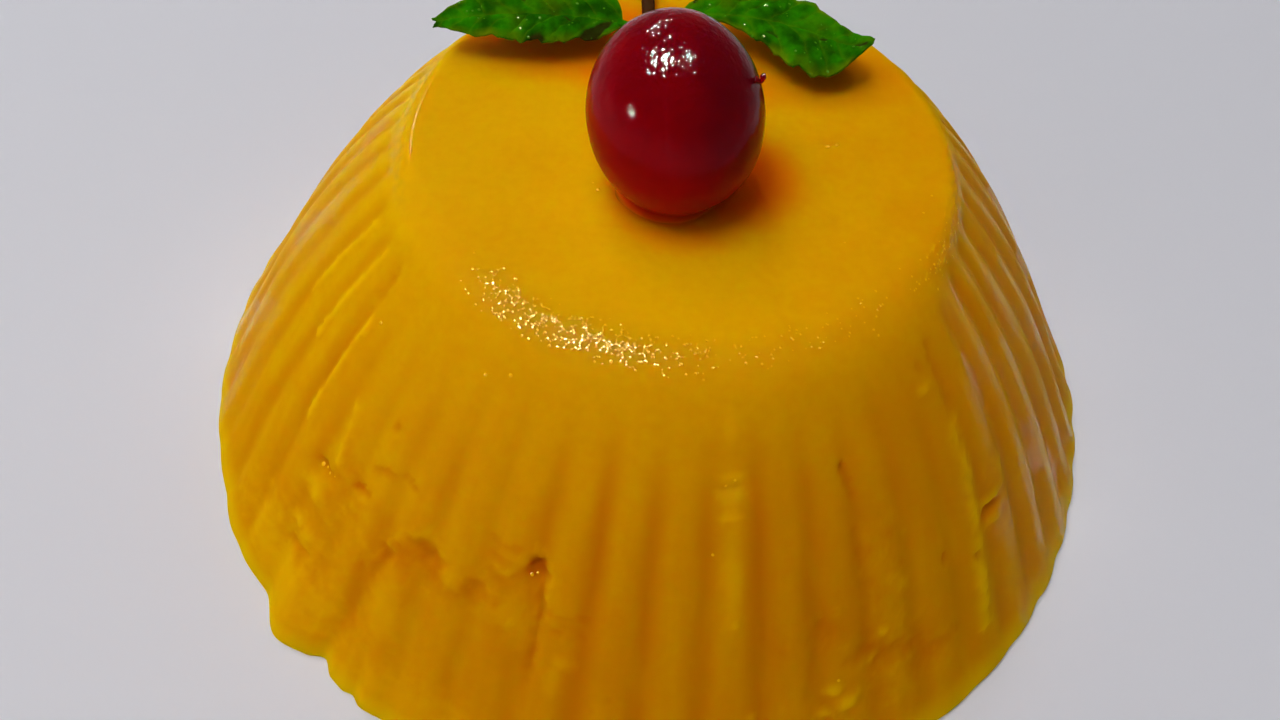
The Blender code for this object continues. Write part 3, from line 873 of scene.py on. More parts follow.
def dent_top(skin):
    """The cherry's seat, small pits and a slight unevenness of the flat top."""
    settings = bpy.context.scene.cherry
    x, y = skin.points[:, 0], skin.points[:, 1]
    level = skin.height > HEIGHT - 0.5 * MM
    away = np.hypot(x - CHERRY_CENTRE.x, y - CHERRY_CENTRE.y)
    egg = settings.below + CHERRY_GAP
    bottom = HEIGHT - CHERRY_SINK + CHERRY_GAP + settings.below
    seat = bottom - egg * np.sqrt(np.clip(1 - (away / (settings.radius + CHERRY_GAP)) ** 2, 0, 1))
    skin.drop += np.where(level & (away < 5 * MM), np.minimum(seat - skin.height, 0), 0)
    for pit_x, pit_y, size, depth in TOP_PITS:
        gap = np.hypot(x / MM - pit_x, y / MM - pit_y)
        skin.drop -= depth * MM * np.exp(-((gap / size) ** 2)) * level
        skin.mark("wet", np.exp(-((gap / size / 1.5) ** 2)) * level)
    fade = smooth_step((0.028 - skin.radius) / 0.004)
    skin.drop += fade * 0.06 * MM * (skin.noise(level, 9, 3, seed=4) - 1)


def wrinkle_rim(skin):
    """The finely wrinkled skin along the front of the shoulder, which glitters, in clusters."""
    turned, away = skin.turned, skin.radius / MM
    high = skin.level > 38.0
    band = bell(away - 27.5, 2.6) * high
    along = bell(turned + 16, 33) + 0.25 * bell(turned - 10, 60)
    edge = bell(away - 29.2, 1.8) * high * bell(turned - 68, 17)
    sides = bell(away - 29.5, 1.6) * high * (bell(turned - 82, 30) + bell(turned + 86, 34))
    near = (band > 0) | (edge > 0) | (sides > 0)
    cluster = skin.noise(near, 2.0, 3, seed=8)
    fine = skin.noise(near, 0.27, 1, seed=9)
    worms = skin.noise(near, 0.55, 2, seed=10, squeeze=(1, 0.6, 1))
    rim = np.maximum(band * along, 0.4 * edge) * smooth_step(0.74 + 0.7 * cluster)
    skin.drop += MM * (0.025 * smooth_step(3 * rim) * fine + 0.10 * edge * worms)
    skin.marks["damp"] = rim
    # A painted sheen along the wrinkles of the right shoulder.
    skin.mark("pale", 0.9 * edge * smooth_step(2.0 * worms - 0.3))
    skin.mark("sheen", 0.8 * smooth_step(1.6 * sides) * smooth_step(0.45 + 1.5 * worms))


def soak_top(skin):
    """Soaks the top with syrup and paints shade on it: red painted shade beside the cherry, and the painted
    shadow of the mint, laid on in the tear colour under the right leaf.
    """
    top = skin.height > HEIGHT - 2 * MM
    x, y = skin.points[:, 0] / MM, skin.points[:, 1] / MM

    def stain(patch_x, patch_y, across, along, reach, fade, strength):
        away = np.hypot((x - patch_x) / across, (y - patch_y) / along)
        return strength * smooth_step((reach - away) / fade)

    mint_shade = stain(*MINT_SHADE)
    right = smooth_step(x / 6)
    stains_and_shade = [stain(*values) for values in SYRUP_STAINS_AND_SHADE]
    skin.marks["stain"] = np.max([*stains_and_shade, mint_shade * (1 - 0.65 * right)], axis=0) * top
    # Under the right leaf the mint's painted shadow is darker, in the tear colour.
    skin.mark("torn", 0.55 * mint_shade * right * top)


def pudding_material(settings):
    finish = Finish(
        "mango pudding",
        {
            "Subsurface Weight": 1.0,
            "Subsurface Radius": (0.85, 0.5, 0.04),
            "Subsurface Scale": 0.0040,
            "Specular IOR Level": 0.0006,
            "Coat Roughness": 0.12,
            "Coat IOR": 1.6,
        },
    )
    remap, uneven, mark = finish.remap, finish.uneven, finish.mark
    xyz = finish.split(finish.place)
    # More flank colour towards the bottom, and towards +X as painted shade of the side away from the lamps.
    low = uneven(130.0, 3.0, 1.6).times_plus(0.5, remap(xyz["Z"], HEIGHT - 0.0015, HEIGHT - 0.0060, -0.2, 0.12))
    low += remap(xyz["Z"], HEIGHT - 0.0060, 0.010, 0.0, 0.63)
    low = finish.calc("ADD", low, remap(xyz["X"], 0.005, 0.038, 0.0, 0.8), clamp=True)
    speck = remap(uneven(900.0, 2.0, 1.6), 0.2, 0.8, 0.0, 0.12)
    streak = mark("streak")
    colour = finish.layers(
        settings.ridge_colour,
        (low, settings.flank_and_shade_colour),
        # Painted shade in the grooves.
        (mark("groove"), settings.groove_shade_and_tone_colour),
        (speck, settings.groove_shade_and_tone_colour),
        (remap(streak, 0.5, 1.0, 0.0, 0.20), settings.groove_shade_and_tone_colour),
        (remap(streak, 0.5, 0.0, 0.0, 0.15), settings.ridge_colour),
        # Painted light, then painted shade with the tears, then the syrup's soak with the cherry's and the
        # mint's painted shade.
        (mark("pale"), settings.painted_light_colour),
        (mark("torn"), settings.tear_and_shade_colour),
        (mark("stain"), settings.stain_and_shade_colour),
    )
    matt = remap(uneven(260.0, 3.0, 1.4), 0.0, 1.0, 0.42, 0.58)
    wet = mark("wet")
    flat = finish.add("ShaderNodeVectorMath", {0: finish.place, 1: (160.0, 160.0, 900.0)}, operation="MULTIPLY")
    normal = finish.bump(uneven(1500.0, 2.0), 0.00004, 0.35)
    return finish.set(
        {
            "Base Color": colour,
            "Roughness": finish.mix(wet, matt, 0.12, "FLOAT"),
            "Coat Weight": mark("sheen").times_plus(0.60, wet * 0.25),
            "Normal": finish.bump(uneven(1.0, 3.0, 1.0, flat), 0.00006, 0.5, normal),
        }
    )


class PUDDING_OT_make_pudding(bpy.types.Operator):
    """Makes the fluted pudding, with the faults it got when it was turned out"""

    bl_idname = "pudding.make_pudding"
    bl_label = "Make Pudding"

    def execute(self, context):
        settings = context.scene.pudding
        piece = add_piece("mango_pudding", bpy.data.meshes.new("mango_pudding"))
        values = {item.name: getattr(settings, item.identifier) for item in settings.bl_rna.properties}
        values |= {"Height": HEIGHT, "Material": pudding_material(settings)}
        skin = Skin(tidy_surface(grow(piece, fluted_form(), values), 1e-6))
        wear_flutes(skin)
        tear_foot(skin)
        press_hollows(skin)
        raise_lumps(skin)
        draw_lines(skin)
        roughen(skin)
        moisten_sides(skin)
        slump_foot(skin)
        dent_top(skin)
        wrinkle_rim(skin)
        soak_top(skin)
        skin.write()
        finish_piece(piece, "pudding", "pudding")
        return {"FINISHED"}


# ---------------------------------------------------------------- the cherry and its syrup


class CherrySettings(bpy.types.PropertyGroup):
    radius: length("Radius", 0.0086, "Radius of the cherry at its widest")
    below: length("Below", 0.0099, "Depth under the widest ring")
    above: length("Above", 0.0104, "Height over the widest ring")
    skin_colour: colour("Skin Colour", (0.39, 0.0005, 0.0035), "Colour of the candied skin")
    dark_colour: colour("Dark Colour", (0.16, 0.0004, 0.0055), "Colour of its darker side")


def ring_of(count):
    """So many places round a ring of radius 1, and their turns."""
    turns = np.linspace(0, 2 * math.pi, count, endpoint=False)
    return np.stack([np.cos(turns), np.sin(turns)], axis=-1), turns


def cherry_mesh(settings):
    """An egg with a full foot, a puckered stem scar, a faint seam and a slightly wrinkled skin."""
    angles = np.linspace(-math.pi / 2, math.pi / 2, CHERRY_ROWS)
    ring, _ = ring_of(CHERRY_COLUMNS)
    fullness = np.where(angles < 0, 2 / 2.1, 1.0)
    tall = np.where(angles < 0, settings.below, settings.above)
    wide = settings.radius * np.clip(np.cos(angles), 0, 1) ** fullness
    high = tall * np.sign(angles) * np.abs(np.sin(angles)) ** fullness
    flat = wide[:, None, None] * ring
    points = np.concatenate([flat, np.broadcast_to(high[:, None, None], (*flat.shape[:2], 1))], axis=-1)
    unit = unit_rows(points)
    gap = np.degrees(np.arccos(np.clip(unit @ np.array(SCAR_DIRECTION.normalized()), -1, 1)))
    pucker = np.exp(-((gap / 9.0) ** 2))
    seam = np.exp(-(((unit[..., 0] - 0.03) / 0.03) ** 2)) * (unit[..., 1] < 0)
    seam *= smooth_step((unit[..., 2] + 0.3) / 0.8)
    wrinkle = noise_at(unit, 0.55, 3, seed=3)
    fine = noise_at(unit, 0.11, 2, seed=5)
    finest = noise_at(unit, 0.035, 1, seed=7)
    crown = smooth_step((52 - gap) / 20)
    shrink = 0.05 * MM * wrinkle + (0.010 + 0.05 * pucker) * MM * fine - 0.06 * MM
    shrink += (0.002 + 0.004 * crown * smooth_step(0.5 + 1.5 * wrinkle)) * MM * finest
    shrink -= 0.12 * MM * np.exp(-((gap / 4.0) ** 2)) + 0.05 * MM * seam
    return tidy_surface(mesh_from_grid("cherry", points + unit * shrink[..., None], wrap=True))


def torn_nub_mesh(settings):
    """The curled thread of skin on the cherry's side, with a glossy knob at its end."""
    share = np.linspace(0, 1, NUB_ROWS)
    ring, _ = ring_of(NUB_COLUMNS)
    root = (settings.radius * 0.91, -1.0 * MM, 4.3 * MM)
    line = [0.80 * np.sin(share * 1.9), 0.2 * share, -0.22 * np.sin(share * 3.6) + 0.36 * share**3]
    line = np.stack(line, axis=1)
    thick = 0.36 - 0.16 * smooth_step(share * 2.6) + 0.08 * bell(share - 0.82, 0.3)
    thick += 0.05 * bell(share - 0.45, 0.12)
    thick[-1] = 0.02
    ahead = unit_rows(np.gradient(line, axis=0))
    side = unit_rows(np.cross(ahead, (0, 1, 0)))
    ring = side[:, None] * ring[:, :1] + np.cross(side, ahead)[:, None] * ring[:, 1:]
    points = line[:, None] + ring * thick[:, None, None]
    points += ring * (0.07 * noise_at(points, 0.45, 2, seed=6))[..., None]
    return tidy_surface(mesh_from_grid("nub", points * MM + np.array(root), wrap=True))


def syrup_mesh():
    """A low collar of syrup that creeps up the cherry's foot, uneven in width."""
    ring, turns = ring_of(SYRUP_COLUMNS)
    reach = 5.6 + 0.12 * np.sin(turns * 2 + 0.6) + 0.10 * np.sin(turns * 5 + 2.0) + 0.05 * np.sin(turns * 11)
    rows = []
    for share, lift in (*SYRUP_PROFILE, SYRUP_PROFILE[0]):
        radius = (SYRUP_INNER + (reach - SYRUP_INNER) * share) * MM
        rows.append(np.column_stack([radius[:, None] * ring, np.full(SYRUP_COLUMNS, lift * MM)]))
    mesh = mesh_from_grid("syrup_collar", np.array(rows), wrap=True)
    mesh.transform(Matrix.Translation(CHERRY_CENTRE + Vector((0, 0, HEIGHT - 0.03 * MM))))
    tidy_surface(mesh)
    flat = points_of(mesh)[:, :2] - CHERRY_CENTRE.xy
    write_mark(mesh, "depth", smooth_step((5.8 - np.hypot(*flat.T) / MM) / 1.4))
    return mesh


def cherry_material(settings):
    finish = Finish(
        "syrup cherry",
        {
            "Roughness": 0.05,
            "Subsurface Weight": 1.0,
            "Subsurface Radius": (1.0, 0.05, 0.08),
            "Subsurface Scale": 0.006,
            "Specular IOR Level": 0.05,
        },
    )
    xyz = finish.split(finish.place)
    # Darker towards +X, and towards the top as painted shade that evens out the lamps above.
    side = finish.remap(xyz["X"], 0.0000, 0.0035)
    high = finish.remap(xyz["Z"], HEIGHT + 0.011, HEIGHT + 0.019, 0.0, 0.7)
    dark = finish.calc("ADD", finish.uneven(220.0, 3.0, 2.0).times_plus(0.4, side * 0.4), high, clamp=True)
    nub = (finish.mark("nub"), (0.05, 0.001, 0.003))
    crown = finish.remap(xyz["Z"], HEIGHT + 0.0125, HEIGHT + 0.0175, 0.05, 1.0)
    normal = finish.bump(finish.uneven(420.0, 2.0), 0.00008, 0.3)
    return finish.set(
        {
            "Base Color": finish.layers(settings.skin_colour, (dark, settings.dark_colour), nub),
            "Normal": finish.bump(finish.uneven(1600.0, 2.0) * crown, 0.00018, 0.7, normal),
        }
    )


def syrup_material():
    finish = Finish("cherry syrup", {"Roughness": 0.06, "Specular IOR Level": 0.08})
    depth = finish.mark("depth")
    shallow, deep = finish.remap(depth, 0.0, 0.5), finish.remap(depth, 0.5, 1.0)
    colour = finish.layers((1.0, 0.30, 0.001), (shallow, (1.0, 0.10, 0.001)), (deep, (0.75, 0.008, 0.002)))
    return finish.set(
        {
            "Base Color": colour,
            "Alpha": finish.remap(depth, 0.0, 0.3, 0.4, 1.0),
            "Normal": finish.bump(finish.uneven(500.0, 2.0), 0.00010, 0.5),
        }
    )


class PUDDING_OT_make_cherry(bpy.types.Operator):
    """Makes the cherry, with its stem scar and torn nub, and the syrup it stands in"""

    bl_idname = "pudding.make_cherry"
    bl_label = "Make Cherry"

    def execute(self, context):
        settings = context.scene.cherry
        builder = bmesh.new()
        builder.from_mesh(cherry_mesh(settings))
        skin_points = len(builder.verts)
        builder.from_mesh(torn_nub_mesh(settings))
        mesh = bpy.data.meshes.new("syrup_cherry")
        builder.to_mesh(mesh)
        builder.free()
        write_mark(mesh, "nub", np.arange(len(mesh.vertices)) >= skin_points)
        lift = Vector((0, 0, HEIGHT - CHERRY_SINK + CHERRY_GAP + settings.below))
        lean = Euler((*CHERRY_LEAN, 0.0)).to_matrix().to_4x4()
        mesh.transform(Matrix.Translation(CHERRY_CENTRE + lift) @ lean)
        finish_piece(add_piece("syrup_cherry", mesh, cherry_material(settings)), "cherry", "cherry")
        finish_piece(add_piece("syrup_collar", syrup_mesh(), syrup_material()), "cherry")
        return {"FINISHED"}


# ---------------------------------------------------------------- the mint


class MintSettings(bpy.types.PropertyGroup):
    leaf_thickness: length("Leaf Thickness", 0.00035, "Thickness of a blade")
    teeth: count("Teeth", 8, "Teeth along each side of a blade")
    tooth_depth: number("Tooth Depth", 0.10, "Depth of a tooth as a share of the half width")
    stem_thickness: length("Stem Thickness", 0.0014, "Width of the square stem")
    leaf_colour: colour("Leaf Colour", (0.026, 0.230, 0.0008), "Colour of the blade")
    vein_colour: colour("Vein Colour", (0.15, 0.24, 0.0015), "Colour of veins and young edges")
    stem_colour: colour("Stem Colour", (0.060, 0.013, 0.004), "Colour of the stem")


def bend_through(places, shares):
    """Points of the smooth arc through three places in millimetres over the pudding's top, in metres."""
    start, middle, end = np.array(places, float)
    handle = 2 * middle - 0.5 * (start + end)
    t = shares[:, None]
    return (start * (1 - t) ** 2 + handle * 2 * t * (1 - t) + end * t**2) * MM + np.array((0, 0, HEIGHT))


def blade_reach(share, side, tip, settings):
    """Half width of one side of a blade, with saw teeth that point at its tip."""
    width, widest, _ = side
    outline = np.sin(math.pi * np.clip(share, 0, 1) ** (math.log(0.5) / math.log(widest))) ** 0.7
    tooth = (share * (settings.teeth + 0.5)) % 1.0
    saw = np.where(tooth < 0.78, tooth / 0.78, (1 - tooth) / 0.22)
    toothed = width * MM * outline * (1 - settings.tooth_depth * (1 - saw))
    return np.maximum(toothed, tip * MM * smooth_step((share - 0.9) / 0.05))


def bruise_and_fold_shade_at(x, y):
    """How strongly each place of the leaf is folded and darkened by bruises and painted fold shade, 0 to 1."""
    bruise_and_fold_shade = np.zeros(x.shape)
    for place_x, place_y, half_length, half_width, turn, dark in BRUISES_AND_FOLD_SHADE:
        turn = math.radians(turn)
        along = ((x - place_x) * math.cos(turn) + (y - place_y) * math.sin(turn)) / half_length
        over = ((y - place_y) * math.cos(turn) - (x - place_x) * math.sin(turn)) / half_width
        bruise_and_fold_shade = np.maximum(bruise_and_fold_shade, dark * smooth_step(1.6 - np.hypot(along, over)))
    return bruise_and_fold_shade


def blade_mesh(name, leaf, settings):
    """A quilted blade: sunken veins, swollen fields between them, and drooping or curled margins."""
    shares = np.linspace(0.0, 1.0, LEAF_ROWS)
    line = bend_through(leaf["line"], shares)
    ahead = unit_rows(np.gradient(line, axis=0))
    to_left = unit_rows(np.cross((0, 0, 1), ahead))
    share, side = np.meshgrid(shares, np.linspace(-1, 1, LEAF_COLUMNS + 1), indexing="ij")
    left, off = side > 0, np.abs(side)
    tip, notch, curl = leaf["tip"]
    sides = [leaf["left_side"], leaf["right_side"]]
    reach = np.where(left, *(blade_reach(share, side, tip, settings) for side in sides))
    width, _, droop = (np.where(left, *pair) * MM for pair in zip(*sides))
    full = reach / width
    points = line[:, None, :] + to_left[:, None, :] * (side * reach)[..., None]
    slow = noise_at(points, 4.0 * MM, 2, seed=11)
    puckers = noise_at(points, 1.1 * MM, 3, seed=12)
    veins = share * (settings.teeth + 0.5) - off**0.9 * 1.7 * full + 0.35 * slow
    field = np.abs(np.sin(math.pi * veins))
    quilt = field**0.7 * np.clip(off * 4, 0, 1) * np.clip((1 - off) * 5, 0.25, 1)
    midrib = np.exp(-((side * full / 0.06) ** 2))
    wave = np.sin(2 * math.pi * 4.5 * share + left + 1.5 * slow) * off
    bruise_and_fold_shade = bruise_and_fold_shade_at(points[..., 0] / MM, points[..., 1] / MM)
    relief = 0.28 * wave + 0.45 * quilt * (1 + 0.8 * slow) + 0.16 * puckers - 0.22 * midrib + 0.25 * off
    lift = full * relief * MM - (droop * side**2 * full + 0.30 * MM * bruise_and_fold_shade)
    lift += curl * MM * smooth_step((share - 0.84) / 0.16) ** 2
    points[..., 2] += lift
    points -= ahead[:, None, :] * (notch * MM * (1 - off) * smooth_step((share - 0.93) / 0.07))[..., None]
    mesh = mesh_from_grid(name, points)
    write_mark(mesh, "vein", np.maximum((1 - field) ** 3 * np.clip(off * 6, 0, 1), midrib))
    write_mark(mesh, "edge", smooth_step((off - 0.70) / 0.3))
    write_mark(mesh, "bruise", bruise_and_fold_shade)
    write_mark(mesh, "damp", np.full(side.size, 0.018))
    return mesh


def leaf_material(settings):
    finish = Finish(
        "mint leaf",
        {
            "Subsurface Weight": 0.25,
            "Subsurface Radius": (0.3, 1.0, 0.1),
            "Subsurface Scale": 0.0012,
            "Specular IOR Level": 0.0,
        },
    )
    remap, uneven, mark = finish.remap, finish.uneven, finish.mark
    red, green, blue = settings.leaf_colour
    fine = uneven(1600.0, 2.0, 1.6)
    margin = mark("edge") * uneven(350.0, 2.0, 3.0)
    young = remap(uneven(190.0, 3.0, 2.5), 0.5, 1.0, 0.0, 0.30)
    light = finish.calc("ADD", margin.times_plus(0.85, mark("vein") * 0.22), young, clamp=True)
    # Brown bruises and painted shade in the folds, with ragged edges.
    ragged = finish.calc("ADD", mark("bruise"), remap(fine, 0.0, 1.0, -0.3, 0.1), clamp=True)
    colour = finish.layers(
        settings.leaf_colour,
        (uneven(420.0, 4.0, 3.5), (red * 0.40, green * 0.34, blue)),
        (light, settings.vein_colour),
        (remap(ragged, 0.1, 0.6, 0.0, 0.9), (0.030, 0.022, 0.004)),
    )
    cells = {"Vector": finish.place, "Scale": 900.0}
    seams = finish.add("ShaderNodeTexVoronoi", cells, feature="DISTANCE_TO_EDGE")
    net = finish.calc("MINIMUM", seams["Distance"] * 3.0, 1.0)
    return finish.set(
        {
            "Base Color": colour,
            "Roughness": remap(fine, 0.0, 1.0, 0.40, 0.60),
            "Normal": finish.bump(fine, 0.00006, 0.4, finish.bump(net, 0.00014, 0.6)),
        }
    )


def stem_material(settings):
    finish = Finish("mint stem", {"Specular IOR Level": 0.001})
    blotch = finish.uneven(500.0, 3.0, 2.0)
    return finish.set(
        {
            "Base Color": finish.layers(settings.stem_colour, (blotch * 0.2, (0.10, 0.12, 0.03))),
            "Roughness": finish.remap(blotch, 0.0, 1.0, 0.4, 0.6),
            "Normal": finish.bump(finish.uneven(2200.0, 2.0), 0.00008, 0.5),
        }
    )


def square_stalk():
    """A square stalk with rounded corners along a line, thicker at its joint."""
    inputs = {"Geometry": GEOMETRY, "Thickness": 0.0014, "Joint Swelling": 0.25, "Corner Share": 0.3}
    tree = Group("square stalk", {**inputs, "Material": MATERIAL})
    thickness = tree.given["Thickness"]
    square = tree.add("GeometryNodeCurvePrimitiveQuadrilateral", {"Width": thickness, "Height": thickness})
    corners = {"Curve": square, "Radius": thickness * 0.5 * tree.given["Corner Share"]}
    profile = tree.add("GeometryNodeFilletCurve", corners)
    near_joint = tree.calc("POWER", 1.0 - tree.add("GeometryNodeSplineParameter")["Factor"], 6.0)
    line = {
        "Curve": tree.add("GeometryNodeMeshToCurve", {"Mesh": tree.given["Geometry"]}),
        "Radius": near_joint.times_plus(tree.given["Joint Swelling"], 0.8),
    }
    sized = tree.add("GeometryNodeSetCurveRadius", line)
    swept = {"Curve": sized, "Profile Curve": profile, "Fill Caps": True}
    return tree.close(tree.add("GeometryNodeCurveToMesh", swept), smooth=False)


def make_stalks(name, lines, thickness, material):
    """One piece of several stalks, each along the arc through its three places."""
    points, edges = [], []
    for places in lines:
        first = len(points)
        points += bend_through(places, np.linspace(0, 1, STALK_POINTS)).tolist()
        edges += [(i, i + 1) for i in range(first, len(points) - 1)]
    mesh = bpy.data.meshes.new(name)
    mesh.from_pydata(points, edges, [])
    piece = add_piece(name, mesh)
    group = bpy.data.node_groups.get("square stalk") or square_stalk()
    mesh = tidy_surface(grow(piece, group, {"Thickness": thickness, "Material": material}))
    mesh.shade_smooth()
    mesh.set_sharp_from_angle(angle=math.radians(50))
    return piece


class PUDDING_OT_make_mint(bpy.types.Operator):
    """Makes the sprig of mint: a square stem, two leaf stalks and two quilted leaves"""

    bl_idname = "pudding.make_mint"
    bl_label = "Make Mint"

    def execute(self, context):
        settings = context.scene.mint
        leaf_finish = leaf_material(settings)
        for name, leaf in LEAVES.items():
            piece = add_piece(name + "_blade", blade_mesh(name, leaf, settings), leaf_finish)
            shell = piece.modifiers.new("thickness", "SOLIDIFY")
            shell.thickness = settings.leaf_thickness
            shell.offset = 0.0
            bake_modifiers(piece)
            finish_piece(piece, "mint_leaf", name)
        stem = make_stalks("mint_stalk", [STEM_LINE], settings.stem_thickness, stem_material(settings))
        finish_piece(stem, "mint_stem", "mint_stem")
        petioles = [leaf["petiole"] for leaf in LEAVES.values()]
        finish_piece(make_stalks("leaf_stalks", petioles, PETIOLE_WIDTH, leaf_finish), "mint_leaf")
        return {"FINISHED"}


# ---------------------------------------------------------------- moisture


class MoistureSettings(bpy.types.PropertyGroup):
    bead_flatness: number("Bead Flatness", 0.45, "Height of a bead as a share of its radius")
    drops: number("Drops", 1.0e7, "Drops per square metre where the skin glitters most")


def bead_tree():
    """Flattened beads on a surface's points, each turned along the surface and sized by its own radius."""
    tree = Group("beads", {"Geometry": GEOMETRY, "Flatness": 0.6, "Material": MATERIAL})
    ball = tree.add("GeometryNodeMeshIcoSphere", {"Radius": 1.0, "Subdivisions": 3})
    normal = tree.stored("stand", "FLOAT_VECTOR")
    turn = tree.add("FunctionNodeAlignRotationToVector", {"Vector": normal}, axis="Z")
    points = tree.add("GeometryNodeMeshToPoints", {"Mesh": tree.given["Geometry"]})
    return tree.stud(points, ball, turn, tree.stored("size"))


def drop_tree():
    """Drops scattered over the upper side of a piece, as densely as its "damp" attribute says."""
    inputs = {
        "Geometry": GEOMETRY,
        "Drops per Square Metre": 1.0e7,
        "Smallest": 0.00008,
        "Largest": 0.00022,
        "Flatness": 0.45,
        "Seed": 7,
        "Material": MATERIAL,
    }
    tree = Group("drops", inputs)
    given = tree.given
    upward = tree.calc("GREATER_THAN", tree.split(tree.add("GeometryNodeInputNormal"))["Z"], 0.3)
    scatter = {
        "Mesh": given["Geometry"],
        "Selection": upward,
        "Density": given["Drops per Square Metre"] * tree.stored("damp"),
        "Seed": given["Seed"],
    }
    scattered = tree.add("GeometryNodeDistributePointsOnFaces", scatter)
    sizes = {2: given["Smallest"], 3: given["Largest"], "Seed": given["Seed"]}
    size = tree.add("FunctionNodeRandomValue", sizes, data_type="FLOAT")[1]
    ball = tree.add("GeometryNodeMeshUVSphere", {"Radius": 1.0, "Segments": 8, "Rings": 4})
    return tree.stud(scattered["Points"], ball, scattered["Rotation"], size)


def bead_material(name, under):
    """A bead shows the colour of what lies under it, and a glint."""
    sockets = {"Roughness": 0.08, "Specular IOR Level": 0.25, "Specular Tint": (1.0, 0.88, 0.50, 1.0)}
    finish = Finish(name, sockets)
    dim = tuple(0.9 * part for part in under)
    return finish.set({"Base Color": finish.layers(under, (finish.uneven(3000.0, 1.0), dim))})


def make_beads(name, places, material, flatness):
    """A piece of beads from (point, normal, radius) triples."""
    points, normals, sizes = zip(*places)
    mesh = bpy.data.meshes.new(name)
    mesh.from_pydata(points, [], [])
    stand = mesh.attributes.new("stand", "FLOAT_VECTOR", "POINT")
    stand.data.foreach_set("vector", np.array(normals, np.float32).ravel())
    write_mark(mesh, "size", np.array(sizes))
    piece = add_piece(name, mesh)
    grow(piece, bead_tree(), {"Flatness": flatness, "Material": material})
    return piece


def nearest_on(piece, point):
    """The place on a piece nearest to a point, and the surface's normal there."""
    found, place, normal, _ = piece.closest_point_on_mesh(Vector(point))
    if not found:
        raise RuntimeError(f"nothing of {piece.name} is near {point}")
    return place, normal


class PUDDING_OT_make_moisture(bpy.types.Operator):
    """Puts beads of moisture on the pudding and drops on the leaves"""

    bl_idname = "pudding.make_moisture"
    bl_label = "Make Moisture"

    def execute(self, context):
        settings = context.scene.moisture
        on_gel = bead_material("moisture on gel", (1.0, 0.52, 0.002))
        on_leaf = bead_material("moisture on leaves", (0.06, 0.27, 0.004))
        guesses = []
        for azimuth, height, radius in FLANK_BEADS:
            turn, away = math.radians(azimuth), np.interp(height, *FLANK_CONE) * MM
            guesses.append((away * math.sin(turn), -away * math.cos(turn), height * MM, radius))
        guesses += [(x * MM, y * MM, HEIGHT, radius) for x, y, radius in TOP_BEADS]
        pudding = bpy.data.objects["mango_pudding"]
        places = [(*nearest_on(pudding, guess), radius * MM) for *guess, radius in guesses]
        finish_piece(make_beads("pudding_beads", places, on_gel, settings.bead_flatness), "pudding")
        tree = drop_tree()
        for wet, name, slot, smallest, largest, flatness in DROPS:
            values = {
                "Drops per Square Metre": settings.drops,
                "Smallest": smallest,
                "Largest": largest,
                "Flatness": flatness,
                "Material": on_gel if slot == "pudding" else on_leaf,
            }
            drops = add_piece(name, bpy.data.objects[wet].data.copy())
            grow(drops, tree, values)
            finish_piece(drops, slot)
        return {"FINISHED"}


# ---------------------------------------------------------------- the stage


class StageSettings(bpy.types.PropertyGroup):
    floor_colour: colour("Floor Colour", (0.75, 0.77, 0.86), "Colour of the pale floor")
    wall_light: number("Wall Light", 0.16, "Strength of the light from the walls")
    ceiling_light: number("Ceiling Light", 0.07, "Strength of the light from the ceiling")
    lamp_strength: number("Lamp Light", 1.0, "Factor on every lamp's power")


def make_world(wall, ceiling):
    """A dim room with light walls behind and beside the pudding."""
    world = bpy.data.worlds.new("room")
    bpy.context.scene.world = world
    world.use_nodes = True
    tree = Tree(world.node_tree)
    way = tree.split(tree.add("ShaderNodeTexCoord")["Generated"])
    walls = tree.remap(way["Z"], 0.55, 0.2) * tree.remap(way["Y"], -0.7, 0.1)
    background = world.node_tree.nodes["Background"].inputs
    background["Color"].default_value = (1.0, 0.98, 0.96, 1.0)
    tree.plug(background["Strength"], tree.mix(walls, ceiling, wall, "FLOAT"))


def add_shown(name, data):
    shown = bpy.data.objects.new(name, data)
    bpy.context.scene.collection.objects.link(shown)
    return shown


def make_lamp(name, direction, sizes, power, tint, role):
    """An oval lamp that points at the origin. A soft one lights, and a glint only mirrors."""
    lamp = bpy.data.lights.new(name, "AREA")
    lamp.shape = "ELLIPSE"
    lamp.size, lamp.size_y = sizes
    lamp.energy = power
    lamp.color = tint
    shown = add_shown(name, lamp)
    shown.location = Vector(direction).normalized() * LAMP_DISTANCE
    shown.rotation_euler = Vector(direction).to_track_quat("Z", "Y").to_euler()
    shown.visible_glossy = role == "glint"
    shown.visible_diffuse = role == "soft"


def make_camera():
    """Stands where the photographer stood, looking down on the pudding's front."""
    data = bpy.data.cameras.new("camera")
    data.lens = CAMERA_LENS
    data.sensor_width = 36.0
    data.clip_start = 0.005
    camera = add_shown("camera", data)
    look, up = CAMERA_LOOK.normalized(), CAMERA_UP.normalized()
    axes = Matrix((look.cross(up), up, -look)).transposed().to_4x4()
    camera.matrix_world = Matrix.Translation(CAMERA_PLACE) @ axes
    bpy.context.scene.camera = camera


def floor_material(settings):
    finish = Finish("pale floor", {"Roughness": 0.5, "Specular IOR Level": 0.0})
    blotch = finish.uneven(12.0, 2.0) * 0.06
    return finish.set({"Base Color": finish.layers(settings.floor_colour, (blotch, (0.5, 0.5, 0.5)))})


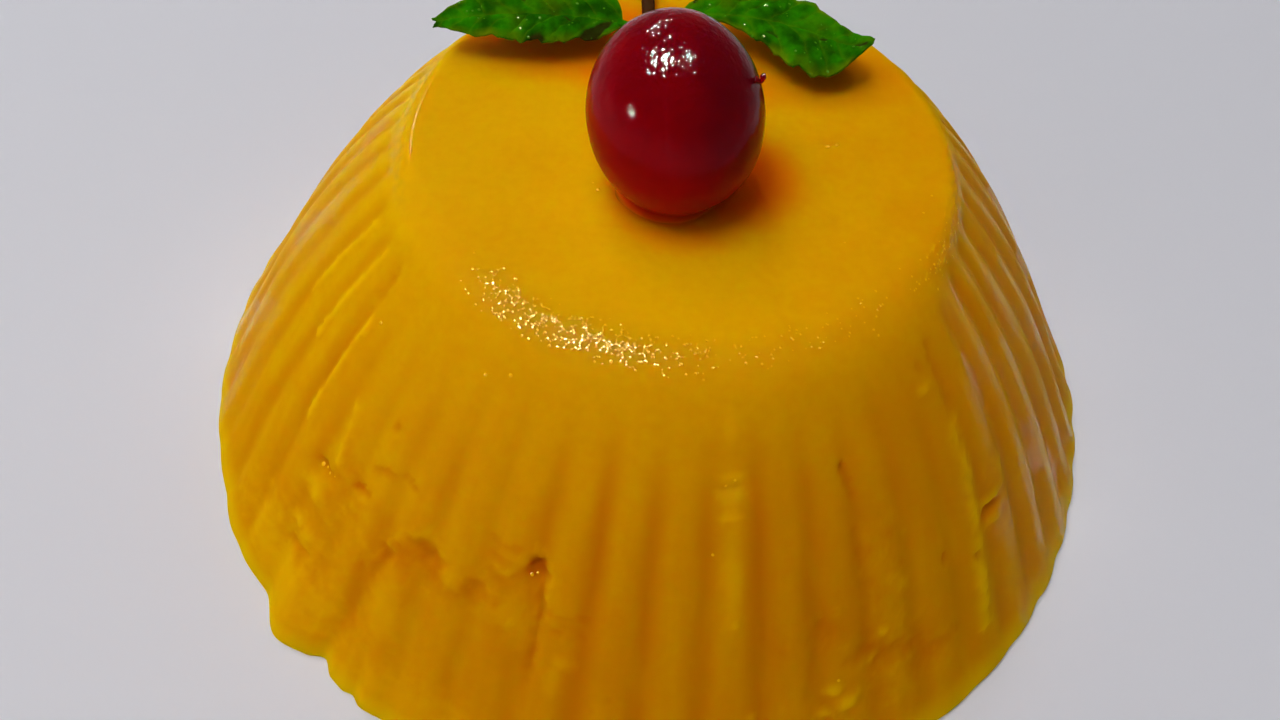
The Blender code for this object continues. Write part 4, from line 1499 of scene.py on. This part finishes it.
class PUDDING_OT_make_stage(bpy.types.Operator):
    """Makes the pale floor, the lamps, the room's light and the camera"""

    bl_idname = "pudding.make_stage"
    bl_label = "Make Stage"

    def execute(self, context):
        settings = context.scene.stage
        mesh = bpy.data.meshes.new("floor")
        plan = ((-1, -1), (1, -1), (1, 1), (-1, 1))
        corners = [(x * FLOOR_REACH, y * FLOOR_REACH, FLOOR_LEVEL) for x, y in plan]
        mesh.from_pydata(corners, [], [(0, 1, 2, 3)])
        floor = add_piece("floor", mesh, floor_material(settings))
        make_world(settings.wall_light, settings.ceiling_light)
        for name, (direction, sizes, power, tint, role) in LAMPS.items():
            make_lamp(name, direction, sizes, power * settings.lamp_strength, tint, role)
        make_camera()
        context.scene.view_settings.view_transform = "Standard"
        return {"FINISHED"}


# ---------------------------------------------------------------- the add-on

# Each group of settings, with the operator that uses it, in the order of making.
STEPS = {
    "pudding": (PuddingSettings, PUDDING_OT_make_pudding),
    "cherry": (CherrySettings, PUDDING_OT_make_cherry),
    "mint": (MintSettings, PUDDING_OT_make_mint),
    "moisture": (MoistureSettings, PUDDING_OT_make_moisture),
    "stage": (StageSettings, PUDDING_OT_make_stage),
}


class PUDDING_PT_panel(bpy.types.Panel):
    bl_label = "Mango Pudding"
    bl_idname = "PUDDING_PT_panel"
    bl_space_type = "VIEW_3D"
    bl_region_type = "UI"
    bl_category = "Pudding"

    def draw(self, context):
        for name, (_, operator) in STEPS.items():
            box = self.layout.box()
            settings = getattr(context.scene, name)
            for item in settings.bl_rna.properties:
                if item.identifier not in ("rna_type", "name"):
                    box.prop(settings, item.identifier)
            box.operator(operator.bl_idname)


CLASSES = (*(cls for pair in STEPS.values() for cls in pair), PUDDING_PT_panel)


def register():
    for cls in CLASSES:
        bpy.utils.register_class(cls)
    for name, (settings, _) in STEPS.items():
        setattr(bpy.types.Scene, name, bpy.props.PointerProperty(type=settings))


def unregister():
    for name in STEPS:
        delattr(bpy.types.Scene, name)
    for cls in reversed(CLASSES):
        bpy.utils.unregister_class(cls)


def main():
    register()
    bpy.ops.pudding.make_pudding()
    bpy.ops.pudding.make_cherry()
    bpy.ops.pudding.make_mint()
    bpy.ops.pudding.make_moisture()
    bpy.ops.pudding.make_stage()


if __name__ == "__main__":
    main()
